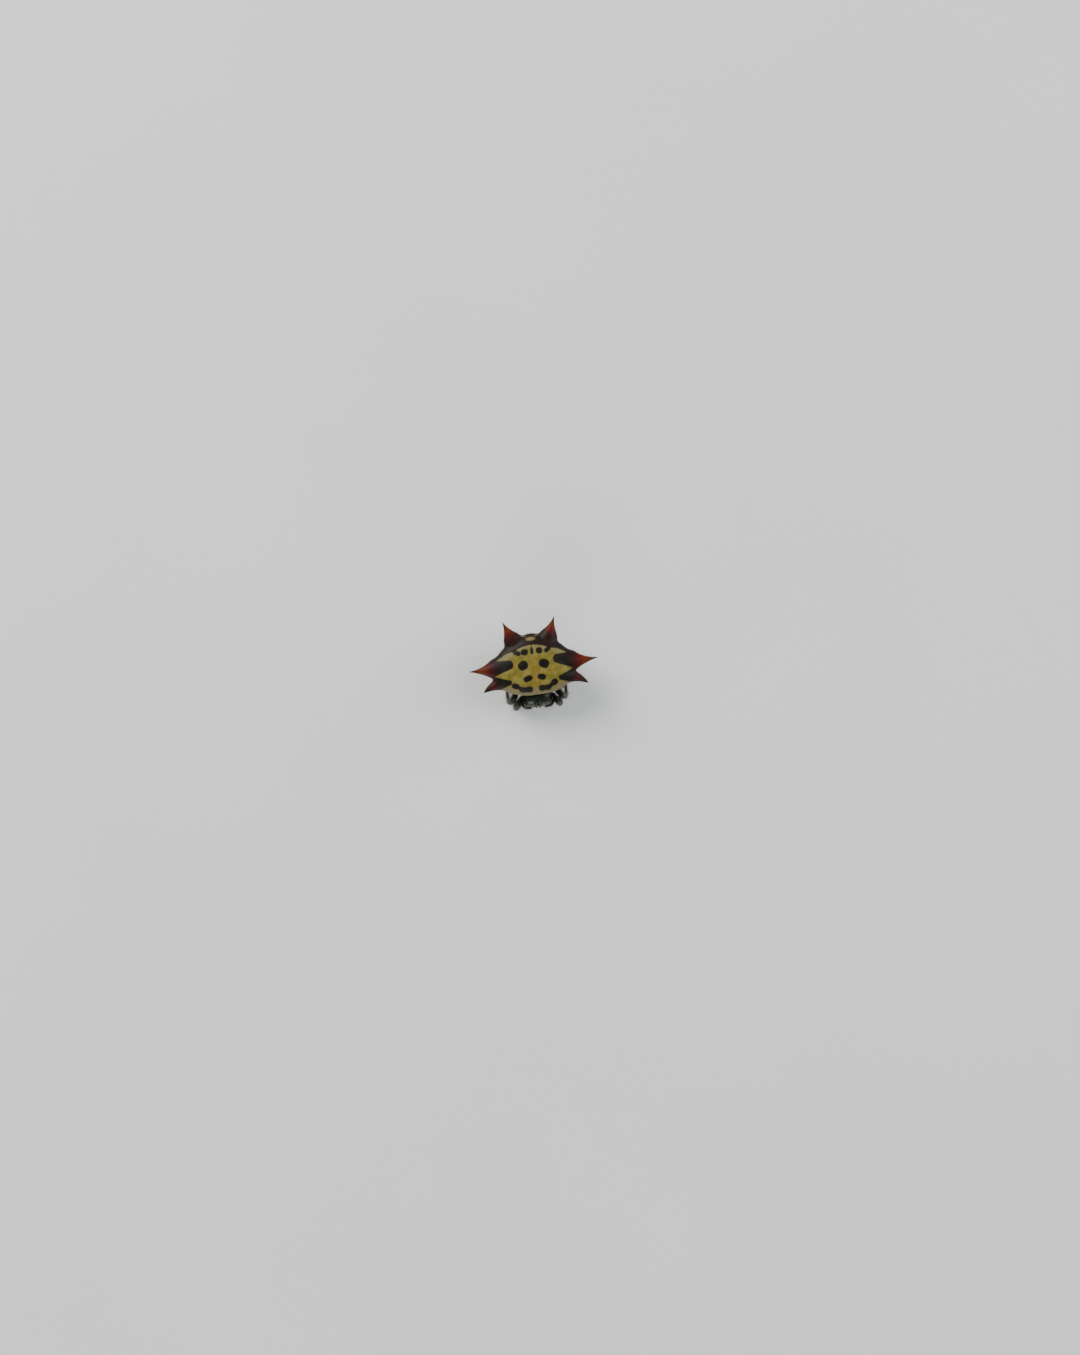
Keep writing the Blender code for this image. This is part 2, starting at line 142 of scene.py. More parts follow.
# The claws' offsets to the side and their lengths
CLAW_REACHES = ((-0.03, 0.16), (0.03, 0.16), (0.0, 0.1))
CLAW_RADIUS = 0.022
LOWEST_CLAW = 0.016

# Hairs of each leg piece from the trochanter on, as their count and length
LEG_HAIRS = ((16, 0.15), (130, 0.2), (50, 0.21), (150, 0.25), (120, 0.2), (90, 0.15))
ROWS_EACH = 6
MAP_ROWS = 96

# Head pieces on the left side
PALP_JOINTS = ((0.58, -3.15, 1.32), (1.5, -3.7, 1.58), (1.28, -4.06, 1.55), (0.66, -4.18, 1.02))
PALP_PIECES = ((0.15, 0.18, 0.15), (0.15, 0.17, 0.14), (0.13, 0.15, 0.13), (0.12, 0.13, 0.07))
PALP_HAIRS = ((34, 0.14), (36, 0.15), (60, 0.16), (90, 0.16))
CHELICERA_TOP = (0.39, -3.64, 2.15)
CHELICERA_END = (0.37, -3.74, 1.02)
CHELICERA_RADII = ((0, 0.3), (0.2, 0.33), (0.45, 0.34), (0.75, 0.3), (0.92, 0.23), (1, 0.1))
CHELICERA_BULGE = 0.09
JAW_TEETH = ((1.16, 0.09), (1.09, 0.11), (1.02, 0.09))
FANG_TIP = (0.1, -3.6, 0.76)
FANG_RADIUS = 0.1
FANG_BOW = 0.07
MEDIAN_MOUND = (0.0, -3.8, 2.76)
MEDIAN_MOUND_SIZE = (0.34, 0.28, 0.3)
LATERAL_MOUND = (1.1, -3.66, 2.48)
LATERAL_MOUND_SIZE = (0.26, 0.26, 0.24)
MEDIAN_EYES = ((0.17, -4.1, 2.7), (0.2, -3.92, 3.0))
LATERAL_EYES = ((1.2, -3.86, 2.46), (1.28, -3.68, 2.64))
MEDIAN_EYE_CENTRE = (0.0, -3.7, 2.7)
MEDIAN_EYE_RADIUS = 0.12
LATERAL_EYE_RADIUS = 0.1
EYE_RIM = [(0.55, -0.9), (0.95, -0.55), (1.12, -0.1), (1.12, 0.12), (1.04, 0.2)]

# Spinnerets: direction in degrees, distance from the middle, length, radius
SPINNERETS = (
    (40, 0.26, 0.36, 0.15),
    (140, 0.26, 0.36, 0.15),
    (220, 0.26, 0.4, 0.17),
    (320, 0.26, 0.4, 0.17),
    (60, 0.07, 0.26, 0.08),
    (120, 0.07, 0.26, 0.08),
)
TUBERCLE = ((0, CONE_SHIFT + 0.42, 1.05), (0, CONE_SHIFT + 0.5, 0.86), (0.14, 0.13, 0.07))

# The horns' grains, as how wide and how high each ring stands, and the horns' hard points
KNOB_COUNT = 340
KNOB_SIZES = (0.018, 0.034)
KNOB_PROFILE = ((1.0, -0.3), (0.85, 0.3), (0.45, 0.62))
TIP_START = 0.82
TIP_END = 0.996
TIP_SINK = 0.014

# Sunk, glossy spots of the shield: place, half sizes, slant in degrees
SIGILLA = (
    (0.0, 1.32, 0.16, 0.31, 0),
    (0.7, 1.29, 0.31, 0.3, 0),
    (-0.71, 1.26, 0.34, 0.29, 0),
    (1.49, 1.31, 0.36, 0.21, 36),
    (-1.46, 1.26, 0.38, 0.23, -34),
    (1.04, 0.0, 0.49, 0.42, -25),
    (-1.0, 0.0, 0.49, 0.43, 28),
    (0.67, -1.25, 0.41, 0.28, -14),
    (-0.66, -1.3, 0.44, 0.28, 18),
    (0.63, -2.32, 0.33, 0.29, 0),
    (1.16, -2.33, 0.28, 0.27, 0),
    (1.85, -1.88, 0.34, 0.29, 30),
    (-0.6, -2.34, 0.32, 0.28, 0),
    (-1.28, -2.3, 0.34, 0.27, -12),
    (-1.93, -1.88, 0.38, 0.26, -18),
)

# Necks that join the front spots into two bars: start, end, radius at each
LINKS = (
    ((1.3, -2.28), (1.75, -1.95), 0.18, 0.18),
    ((-1.4, -2.2), (-1.8, -1.95), 0.15, 0.15),
    ((-0.7, -2.34), (-1.2, -2.34), 0.22, 0.22),
    ((0.75, -2.34), (1.1, -2.34), 0.2, 0.2),
)

# Dark patches that widen towards the horns, given in the same way
DARK_PATCHES = (
    ((2.38, 0.33), (4.0, 0.08), 0.45, 0.82),
    ((-2.38, 0.22), (-4.0, 0.0), 0.45, 0.76),
    ((2.55, -1.53), (4.1, -1.45), 0.25, 0.8),
    ((-2.5, -1.5), (-4.1, -1.48), 0.25, 0.8),
)

# Other marks, as an oval or as patches that lie on both sides. The rear wings and the crescent are painted
# highlights, not marks of the shield
REAR_MARK = (-0.02, 2.51, 0.41, 0.17, 0)
REAR_WING_HIGHLIGHT = ((0.46, 2.78), (0.86, 2.84), 0.02, 0.01)
CRESCENT_HIGHLIGHT = ((2.1, 1.24), (2.95, 0.92), 0.17, 0.17)
BLUSH = ((4.25, 0.1), (4.3, -1.3), 0.5, 0.42)

# Warm areas along the midline: strength, then the middle and width across, then along
WARM_AREAS = ((1.0, 0.0, 0.42, -0.75, 0.75), (0.85, 0.0, 0.4, -1.85, 0.35), (0.6, 0.1, 0.7, 0.65, 0.35))
WARM_SIDES = (0.35, 1.8, 0.6, 0.55, 0.5)

# Rings of pale spots on the belly: height, count, size, turn
BELLY_RINGS = ((1.75, 6, 0.2, 0.5), (2.45, 9, 0.24, 0.0), (3.15, 12, 0.24, 0.5))

# Edge of the dark rear band, from the midline outwards
BAND_EDGE = (
    (0.0, 1.93),
    (0.5, 1.88),
    (1.0, 1.77),
    (1.45, 1.6),
    (1.62, 1.46),
    (1.8, 1.42),
    (2.1, 1.4),
    (2.5, 1.3),
    (2.95, 1.05),
    (3.4, 0.8),
    (4.0, 0.5),
)


# How far the forms of the skins stand out, or how deep they are
PIT_DEPTH = 0.026
PIT_LIP = 0.005
PIT_BOSS = 0.006
SEAM_DEPTH = 0.015
GROOVE_DEPTH = 0.025
SWELL_HEIGHT = 0.022
FOLD_HEIGHT = 0.022
FOLD_SPACING = 0.34
RIB_HEIGHT = 0.016
LUNG_HEIGHT = 0.07
SCAPE_HEIGHT = 0.09
RIDGE_HEIGHT = 0.005
NECK_DEPTH = 0.045
HEAD_PIT_DEPTH = 0.06
SPOKE_DEPTH = 0.014
CARAPACE_LIP = 0.03


def unit(vectors):
    return vectors / np.linalg.norm(vectors, axis=-1, keepdims=True)


def smooth_step(value, low, high):
    share = np.clip((value - low) / (high - low), 0, 1)
    return share * share * (3 - 2 * share)


def joined(first, second, width):
    """The union of two distances, with its corner filled over this width."""
    share = np.clip(0.5 + 0.5 * (second - first) / width, 0, 1)
    return second + (first - second) * share - width * share * (1 - share)


def gradient(field, points, reach=0.01):
    parts = []
    for axis in np.eye(3):
        parts.append((field(points + reach * axis) - field(points - reach * axis)) / (2 * reach))
    return np.stack(parts, -1)


def evened(field, points):
    """A field turned into a distance, near enough, by its own slope."""
    slope = np.linalg.norm(gradient(field, points), axis=-1)
    return field(points) / np.maximum(slope, 0.08)


def plan_ratio(x, y, half_width, front, rear, front_square, rear_square):
    """How far out a point lies, as a share of an outline with two superellipse halves."""
    ahead = y < 0
    reach = np.where(ahead, front, rear)
    square = np.where(ahead, front_square, rear_square)
    across, along = np.abs(x) / half_width, np.abs(y) / reach
    return (across**square + along**square + 1e-9) ** (1 / square)


def shield_ratio(points):
    """Zero on the shield's dome above the rim and on the cone of the underside below it."""
    x, y, z = np.moveaxis(points, -1, 0)
    lift = np.clip((z - RIM_HEIGHT) / DOME_RISE, 0, None)
    drop = np.clip((RIM_HEIGHT - z) / CONE_DEPTH, 0, 1)
    middle = CONE_SHIFT * drop
    front = middle + SHIELD_FRONT - (SHIELD_FRONT + CONE_SHIFT - RING_RADIUS) * drop**FRONT_SWELL
    rear = SHIELD_REAR - (SHIELD_REAR - CONE_SHIFT - RING_RADIUS) * drop**REAR_SWELL - middle
    half_width = SHIELD_HALF_WIDTH - (SHIELD_HALF_WIDTH - RING_RADIUS) * drop**SIDE_SWELL
    front_square = SHIELD_FRONT_SQUARENESS + (2 - SHIELD_FRONT_SQUARENESS) * drop
    rear_square = SHIELD_REAR_SQUARENESS + (2 - SHIELD_REAR_SQUARENESS) * drop
    plan = plan_ratio(x, y - middle, half_width, front, rear, front_square, rear_square)
    return (plan**DOME_SQUARENESS + lift**DOME_SQUARENESS) ** (1 / DOME_SQUARENESS) - 1


def horn(shape, side, lean=(0.0, 0.0, 0.0)):
    """A bent horn as places along its axis, with its radius and flatness at each."""
    root, bend, tip, root_radius, taper, flatness = shape
    mirror = np.array((side, 1.0, 1.0))
    root, bend, tip = np.array(root) * mirror, np.array(bend) * mirror, np.array(tip) * mirror + lean
    share = np.linspace(0, 1, HORN_RUNS + 1)[:, None]
    axis = (1 - share) ** 2 * root + 2 * share * (1 - share) * bend + share**2 * tip
    along = np.where(share < HORN_EASE, share**2 / (2 * HORN_EASE), share - HORN_EASE / 2)[:, 0]
    along /= 1 - HORN_EASE / 2
    radius = HORN_TIP_RADIUS + (root_radius - HORN_TIP_RADIUS) * (1 - along) ** taper
    return axis, radius, flatness + (1 - flatness) * share[:, 0]


def horn_distance(points, shape):
    """Distance to a horn, and the share of its length that lies nearest to each point."""
    axis, radius, flatness = shape
    nearest = np.full(points.shape[:-1], FAR)
    share = np.zeros(points.shape[:-1])
    for i in range(HORN_RUNS):
        run = axis[i + 1] - axis[i]
        upward = unit(np.cross(np.cross(run, (0, 0, 1)), run))
        along = np.clip((points - axis[i]) @ run / (run @ run), 0, 1)
        offset = points - axis[i] - along[..., None] * run
        stretch = 1 / flatness[i] ** 2 - 1
        reach = np.sqrt((offset**2).sum(-1) + stretch * (offset @ upward) ** 2)
        distance = reach - radius[i] - along * (radius[i + 1] - radius[i])
        closer = distance < nearest
        nearest = np.where(closer, distance, nearest)
        share = np.where(closer, (i + along) / HORN_RUNS, share)
    return nearest, share


HORNS = []
for side, _ in SIDES:
    HORNS.append(horn(LATERAL_HORN, side))
    HORNS.append(horn(REAR_HORN, side))
    HORNS.append(horn(FRONT_HORN, side, FRONT_TIP_LEAN[side]))


def near_horn(points, shape):
    """Distance and share of a horn, worked out only for the points round it."""
    axis, radius, _ = shape
    margin = radius[:, None] + 2 * HORN_BLEND
    low, high = (axis - margin).min(0), (axis + margin).max(0)
    close = ((points > low) & (points < high)).all(-1)
    distance = np.full(points.shape[:-1], FAR)
    share = np.zeros(points.shape[:-1])
    distance[close], share[close] = horn_distance(points[close], shape)
    return distance, share


def shield_field(points):
    x, y, z = np.moveaxis(points, -1, 0)
    body = evened(shield_ratio, points)
    body = -joined(-body, z - (RIM_HEIGHT - CONE_DEPTH), 0.15)
    ring = np.hypot(np.hypot(x, y - CONE_SHIFT) - COLLAR_RADIUS, z - COLLAR_HEIGHT)
    body = joined(body, ring - COLLAR_THICKNESS, 0.12)
    for shape in HORNS:
        body = joined(body, near_horn(points, shape)[0], HORN_BLEND)
    return body


def ball(points, place, size):
    """Distance to an ellipsoid, near enough."""
    offset = (points - place) / size
    length = np.linalg.norm(offset, axis=-1)
    return (length - 1) * min(size)


def rod(points, start, end, radius):
    start, end = np.array(start), np.array(end)
    run = end - start
    along = np.clip((points - start) @ run / (run @ run), 0, 1)
    return np.linalg.norm(points - start - along[..., None] * run, axis=-1) - radius


def carapace_ratio(points):
    """Zero on the carapace and, below its edge, on the sides and the sternum."""
    x, y, z = np.moveaxis(points, -1, 0)
    heights, half_widths, fronts, rears = np.array(CARAPACE_RINGS).T
    slope = smooth_step(SLOPE_START - y, 0, SLOPE_LENGTH)
    rise = CARAPACE_RISE * (SLOPE_LOWEST + (1 - SLOPE_LOWEST) * slope)
    lift = np.clip((z - CARAPACE_EDGE) / rise, 0, None)
    half_width = np.interp(z, heights, half_widths)
    front, rear = np.interp(z, heights, fronts), np.interp(z, heights, rears)
    front_square = np.interp(z, (1.2, 1.9), (2.3, 3.4))
    plan = plan_ratio(x, y - BODY_MIDDLE_Y, half_width, front, rear, front_square, 2.1)
    return plan**3.3 + lift**2.2 - 1


def head_field(points):
    z = points[..., 2]
    body = evened(carapace_ratio, points)
    body = -joined(-body, z - 1.0, 0.12)
    body = joined(body, ball(points, MEDIAN_MOUND, MEDIAN_MOUND_SIZE), 0.16)
    body = joined(body, rod(points, *WAIST), 0.2)
    body = joined(body, ball(points, *LABIUM), 0.05)
    maxilla, maxilla_size = MAXILLA
    for side, _ in SIDES:
        mirror = np.array((side, 1, 1))
        body = joined(body, ball(points, LATERAL_MOUND * mirror, LATERAL_MOUND_SIZE), 0.14)
        body = joined(body, ball(points, maxilla * mirror, maxilla_size), 0.05)
        for start, end in zip(COXAE, TROCHANTERS):
            inner = np.array(start) * 0.45 + np.array(end) * 0.55
            knob = rod(points, start * mirror, inner * mirror, COXA_KNOB_RADIUS)
            body = joined(body, knob, 0.12)
    return body


def sampled(field, axes, planes=12):
    """The field at each point of a grid, a few planes at a time."""
    values = np.empty([len(axis) for axis in axes], np.float32)
    for start in range(0, len(axes[0]), planes):
        part = np.meshgrid(axes[0][start : start + planes], axes[1], axes[2], indexing="ij")
        values[start : start + planes] = field(np.stack(part, -1))
    return values


CORNERS = [(i, j, k) for i in (0, 1) for j in (0, 1) for k in (0, 1)]
CUBE_EDGES = [(a, b) for a in CORNERS for b in CORNERS if a < b and np.abs(np.subtract(a, b)).sum() == 1]


def surface_net(field, low, high, step):
    """Points and four-sided faces where the field is zero."""
    axes = [np.arange(low[i], high[i] + step, step) for i in range(3)]
    values = sampled(field, axes)
    inside = values < 0
    full = np.zeros([len(axis) - 1 for axis in axes], np.int8)
    for corner in CORNERS:
        full += inside[tuple(slice(c, c + n) for c, n in zip(corner, full.shape))]
    active = np.argwhere((full > 0) & (full < 8))
    index = np.full(full.shape, -1)
    index[tuple(active.T)] = np.arange(len(active))
    total, hits = np.zeros((len(active), 3)), np.zeros(len(active))
    for first, second in CUBE_EDGES:
        a = values[tuple((active + first).T)]
        b = values[tuple((active + second).T)]
        crossed = (a < 0) != (b < 0)
        share = a[crossed] / (a[crossed] - b[crossed])
        total[crossed] += np.array(first) + share[:, None] * np.subtract(second, first)
        hits[crossed] += 1
    points = np.array([axis[0] for axis in axes]) + step * (active + total / hits[:, None])
    faces = []
    for k in range(3):
        u, v = (k + 1) % 3, (k + 2) % 3
        lower = inside.take(range(0, inside.shape[k] - 1), axis=k)
        upper = inside.take(range(1, inside.shape[k]), axis=k)
        edges = np.argwhere(lower != upper)
        edges = edges[(edges[:, u] > 0) & (edges[:, v] > 0)]
        edges = edges[(edges[:, u] < full.shape[u]) & (edges[:, v] < full.shape[v])]
        outward = lower[tuple(edges.T)]
        corners = []
        for du, dv in ((-1, -1), (0, -1), (0, 0), (-1, 0)):
            cell = edges.copy()
            cell[:, u] += du
            cell[:, v] += dv
            corners.append(index[tuple(cell.T)])
        quads = np.stack(corners, 1)
        quads[~outward] = quads[~outward][:, ::-1]
        faces.append(quads)
    return points, np.concatenate(faces)


def settled(field, points, faces, rounds=3):
    """Evens out the points and moves them onto the surface, and gives the way out at each."""
    ends = np.concatenate([faces[:, [0, 1]], faces[:, [1, 2]], faces[:, [2, 3]], faces[:, [3, 0]]])
    count = np.bincount(ends[:, 0], minlength=len(points))
    for _ in range(rounds):
        sums = [np.bincount(ends[:, 0], points[ends[:, 1], i], len(points)) for i in range(3)]
        points = 0.5 * points + 0.5 * np.stack(sums, -1) / count[:, None]
        for _ in range(2):
            slope = gradient(field, points)
            size = np.maximum((slope**2).sum(-1), 0.1)
            points = points - slope * np.clip(field(points) / size, -0.03, 0.03)[:, None]
    return points, unit(gradient(field, points))


class Shape:
    """Points, faces and point values gathered for one mesh."""

    def __init__(self):
        self.points, self.faces, self.values = [], [], {}
        self.count = 0

    def add(self, points, faces, **values):
        points = np.asarray(points, float)
        self.points.append(points)
        self.faces += [tuple(int(i) + self.count for i in face) for face in faces]
        for name, value in values.items():
            self.values.setdefault(name, []).append(np.broadcast_to(value, len(points)))
        self.count += len(points)

    def made(self, name, material, places=None):
        """The mesh object, in metres, riding on the body."""
        mesh = bpy.data.meshes.new(name)
        mesh.from_pydata((np.concatenate(self.points) * MM).tolist(), [], self.faces)
        for label, parts in self.values.items():
            layer = mesh.attributes.new(label, "FLOAT", "POINT")
            layer.data.foreach_set("value", np.concatenate(parts).astype(np.float32))
        if places is not None:
            corners = np.empty(len(mesh.loops), np.int32)
            mesh.loops.foreach_get("vertex_index", corners)
            layer = mesh.uv_layers.new(name="OFBake")
            layer.data.foreach_set("uv", places[corners].astype(np.float32).ravel())
        mesh.materials.append(material)
        mesh.shade_smooth()
        obj = bpy.data.objects.new(name, mesh)
        bpy.context.scene.collection.objects.link(obj)
        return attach(obj, "root")

    def stands_for(self, node, name, material):
        """Makes the mesh object in the place of one of the solids."""
        obj = self.made(name, material)
        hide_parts(node)


def in_oval(x, y, place_x, place_y, half_x, half_y, slant):
    """Depth inside a slanted oval, which is negative outside it."""
    cos, sin = math.cos(math.radians(slant)), math.sin(math.radians(slant))
    along = (x - place_x) * cos + (y - place_y) * sin
    across = (y - place_y) * cos - (x - place_x) * sin
    ratio = (np.abs(along / half_x) ** 2.4 + np.abs(across / half_y) ** 2.4) ** (1 / 2.4)
    return (1 - ratio) * min(half_x, half_y)


def in_patch(x, y, start, end, start_radius, end_radius):
    """Depth inside a rounded patch that widens from its start to its end."""
    run = np.subtract(end, start)
    along = np.clip(((x - start[0]) * run[0] + (y - start[1]) * run[1]) / (run @ run), 0, 1)
    distance = np.hypot(x - start[0] - along * run[0], y - start[1] - along * run[1])
    return start_radius + along * (end_radius - start_radius) - distance


def spread(value, centre, width):
    return np.exp(-(((value - centre) / width) ** 2))


def warmth(x, y, strength, middle_x, width_x, middle_y, width_y):
    return strength * spread(x, middle_x, width_x) * spread(y, middle_y, width_y)


def shield_marks(points, normals):
    """The named distances and weights that colour the shield, at each point."""
    x, y, z = points.T
    pits = np.full(len(x), -FAR)
    for spot in SIGILLA:
        pits = -joined(-pits, -in_oval(x, y, *spot), 0.1)
    for link in LINKS:
        pits = -joined(-pits, -in_patch(x, y, *link), 0.1)
    patches = np.max([in_patch(x, y, *patch) for patch in DARK_PATCHES], axis=0)
    edge_x, edge_y = np.array(BAND_EDGE).T
    band = (y - np.interp(np.abs(x), edge_x, edge_y)) * 0.85
    line = np.minimum(0.035 - np.abs(x), y - 1.5)
    horn_share = np.full(len(x), -1.0)
    horn_kind = np.zeros(len(x))
    for i, shape in enumerate(HORNS):
        distance, share = near_horn(points, shape)
        reach = share - 0.06 - 0.9 * smooth_step(distance, 0.0, 0.5)
        better = reach > horn_share
        horn_share = np.where(better, reach, horn_share)
        horn_kind = np.where(better, i % 3, horn_kind)
    inward = -evened(shield_ratio, points * (1, 1, 0) + (0, 0, RIM_HEIGHT))
    # Painted highlights: the front rim and the crescent are made paler where light would catch the shield.
    # The strip in front of the rear band is a paler tone.
    front_rim_highlight = smooth_step(-y, 0.9, 1.9) * smooth_step(-inward, -0.75, -0.4)
    crescent_highlight = smooth_step(in_patch(np.abs(x), y, *CRESCENT_HIGHLIGHT), -0.12, 0.08)
    rear_rim = smooth_step(band, -0.4, -0.1) * smooth_step(1.6 - np.abs(x), 0, 0.4) * (y > 0)
    warm = [warmth(x, y, *area) for area in WARM_AREAS] + [warmth(np.abs(x), y, *WARM_SIDES)]
    return {
        "dark": np.maximum(pits, patches),
        "pit": pits,
        "band": np.maximum(band, line),
        # The rear mark is the shield's pale spot, and the rear wings beside it are a painted highlight
        "rear_mark_and_highlight": np.maximum(in_oval(x, y, *REAR_MARK), in_patch(np.abs(x), y, *REAR_WING_HIGHLIGHT)),
        "horn": horn_share,
        "kind": horn_kind,
        "pale": np.max([front_rim_highlight, crescent_highlight, 0.75 * rear_rim], axis=0),
        "warm": np.max(warm, axis=0),
        "blush": in_patch(np.abs(x), y, *BLUSH),
        "under": smooth_step(-normals[:, 2], -0.12, 0.12),
        "spots": belly_spots(points),
    }


def belly_spots(points):
    """Depth inside the pale spots of the underside, in rings round the spinnerets."""
    x, y, z = points.T
    depth = np.full(len(x), -1.0)
    for height, count, size, turn in BELLY_RINGS:
        for i in range(count):
            angle = 2 * math.pi * (i + turn) / count
            toward = np.arctan2(y - CONE_SHIFT, x) - angle
            toward = np.abs((toward + math.pi) % (2 * math.pi) - math.pi)
            across = toward * np.hypot(x, y - CONE_SHIFT)
            depth = np.maximum(depth, size - np.hypot(across, (z - height) * 1.5))
    return depth


def shield_relief(points, normals, marks):
    """How far the surface stands out from the plain form, in millimetres."""
    x, y, z = points.T
    under = marks["under"]
    on_horn = smooth_step(marks["horn"], -0.1, 0.1)
    top = (1 - under) * (1 - on_horn)
    pit = marks["pit"]
    sunk = -PIT_DEPTH * smooth_step(pit, -0.07, 0.14) + PIT_LIP * spread(pit, -0.1, 0.05)
    boss = PIT_BOSS * smooth_step(pit, 0.12, 0.26)
    seam = -SEAM_DEPTH * spread(x, 0, 0.08) * smooth_step(y, -2.4, -1.6) * smooth_step(-y, -1.9, -1.2)
    groove = -GROOVE_DEPTH * spread(marks["band"], 0.0, 0.09) * smooth_step(y, 0.6, 1.0)
    swell = SWELL_HEIGHT * np.sin(2.3 * x + 0.6 * np.sin(1.9 * y))
    swell *= np.sin(2.6 * y + 0.7 * np.sin(2.1 * x + 1))
    away = np.hypot(x, y - CONE_SHIFT)
    angle = np.arctan2(y - CONE_SHIFT, x)
    folds = FOLD_HEIGHT * np.sin(2 * math.pi * z / FOLD_SPACING + 0.8 * np.sin(3 * angle))
    folds *= smooth_step(away, 0.8, 1.3) * smooth_step(-z, -3.9, -3.2)
    ribs = RIB_HEIGHT * np.sin(17 * angle + 1.5 * np.sin(2 * z))
    ribs *= smooth_step(away, 1.0, 2.0) * smooth_step(-z, -3.9, -3.3)
    lungs = in_oval(np.abs(x), z, 0.62, 1.95, 0.34, 0.26, 20)
    lungs = LUNG_HEIGHT * smooth_step(lungs, -0.05, 0.08) * (y < -0.2)
    scape = in_oval(x, z, 0.0, 1.5, 0.2, 0.14, 0)
    scape = SCAPE_HEIGHT * smooth_step(scape, -0.04, 0.08) * (y < -0.1)
    belly = (folds + ribs + lungs + scape) * under * (1 - on_horn)
    wander = 1.7 * np.sin(3.1 * x + 2.3 * z) + 1.3 * np.sin(4.3 * y + 1.7 * z)
    ringed = smooth_step(marks["horn"], 0.05, 0.2) * smooth_step(0.75 - marks["horn"], 0, 0.3)
    ridges = RIDGE_HEIGHT * np.sin(52 * marks["horn"] + wander) * ringed
    return (sunk + boss + seam + groove + swell) * top + belly + ridges


def head_marks(points, normals):
    """Depth inside the pale patch of the sternum, which only the underside has."""
    x, y, z = points.T
    under = smooth_step(-normals[:, 2], 0.2, 0.5) * smooth_step(-z, -1.25, -1.1)
    return {"sternum": np.where(under > 0.3, in_patch(x, y, *STERNUM_PATCH), -1.0)}


def head_relief(points, normals, marks):
    x, y, z = points.T
    top = smooth_step(normals[:, 2], 0.0, 0.3)
    neck = -NECK_DEPTH * spread(y + 2.55 - 0.55 * np.abs(x), 0, 0.09)
    neck *= smooth_step(1.3 - np.abs(x), 0, 0.3)
    pit = -HEAD_PIT_DEPTH * spread(x, 0, 0.05) * spread(y, -2.15, 0.16)
    spokes = -SPOKE_DEPTH * smooth_step(np.sin(9 * np.arctan2(y + 2.15, x)), 0.4, 1.0) * (y > -2.7)
    edge = CARAPACE_LIP * spread(z, CARAPACE_EDGE, 0.07) * smooth_step(y, -3.9, -3.5)
    return (neck + pit + spokes) * top + edge


def frames_along(path):
    """Two directions across a path at each of its points, turned as little as they can be."""
    runs = unit(np.gradient(path, axis=0))
    first = np.cross(runs[0], (0, 0, 1))
    if np.linalg.norm(first) < 0.1:
        first = np.cross(runs[0], (0, 1, 0))
    across = []
    for run in runs:
        first = unit(first - run * (first @ run))
        across.append(first)
    across = np.array(across)
    return runs, across, np.cross(runs, across)


def tube(shape, path, radii, sides, squash=1.0, **values):
    """Adds rings round a path, closed by a point at each end, and gives the rings back."""
    runs, across, upward = frames_along(path)
    angle = 2 * math.pi * np.arange(sides) / sides
    upward = upward * np.broadcast_to(squash, len(path))[:, None]
    around = across[:, None] * np.cos(angle)[:, None] + upward[:, None] * np.sin(angle)[:, None]
    rings = path[:, None] + radii[:, None, None] * around
    points = np.concatenate([rings.reshape(-1, 3), [path[0]], [path[-1]]])
    count = len(path)
    faces = []
    for i in range(count - 1):
        for j in range(sides):
            k = (j + 1) % sides
            faces.append((i * sides + j, i * sides + k, (i + 1) * sides + k, (i + 1) * sides + j))
    for j in range(sides):
        k = (j + 1) % sides
        faces.append((count * sides, k, j))
        faces.append((count * sides + 1, (count - 1) * sides + j, (count - 1) * sides + k))
    spread_out = {}
    for name, value in values.items():
        value = np.broadcast_to(value, count)
        spread_out[name] = np.concatenate([np.repeat(value, sides), value[[0, -1]]])
    shape.add(points, faces, **spread_out)
    return rings, runs


# Where the rings of a limb piece lie: its rounded ends, then close together near each joint
CAP_ANGLES = np.radians((78, 55, 32, 12))
CAP_REACH = 0.75
NEAR_SHARES = (0.0, 0.04, 0.08, 0.12, 0.18, 0.26, 0.35, 0.45)
FAR_SHARES = (0.55, 0.65, 0.75, 0.83, 0.89, 0.93, 0.97, 1.0)
PIECE_SHARES = np.array(NEAR_SHARES + FAR_SHARES)
WAIST_DEPTH = 0.07


def piece(shape, start, end, sizes, bow=0.0):
    """One stiff piece of a limb, slim at its joints and bowed up by this much."""
    start, end = np.array(start), np.array(end)
    base, middle, tip = sizes
    share = PIECE_SHARES
    arch = 4 * share * (1 - share)
    radius = base * (1 - share) * (1 - 2 * share) + middle * arch + tip * share * (2 * share - 1)
    radius *= 1 - WAIST_DEPTH * (spread(share, 0.1, 0.03) + spread(share, 0.91, 0.025))
    run = end - start
    way = unit(run)
    lift = np.array((0, 0, 1)) - way * way[2]
    path = start + share[:, None] * run + bow * arch[:, None] * lift
    caps = len(CAP_ANGLES)
    sines, cosines = np.sin(CAP_ANGLES), np.cos(CAP_ANGLES)
    first = path[0] - way * (base * CAP_REACH * sines)[:, None]
    last = path[-1] + way * (tip * CAP_REACH * sines[::-1])[:, None]
    path = np.concatenate([first, path, last])
    radius = np.concatenate([base * cosines, radius, tip * cosines[::-1]])
    joint = np.maximum(spread(share, 0.0, 0.1), spread(share, 1.0, 0.13))
    joint = np.pad(joint, caps, constant_values=1.0)
    rings, runs = tube(shape, path, radius, LIMB_SIDES, joint=joint)
    return rings[caps:-caps], path[caps:-caps], runs[caps:-caps]


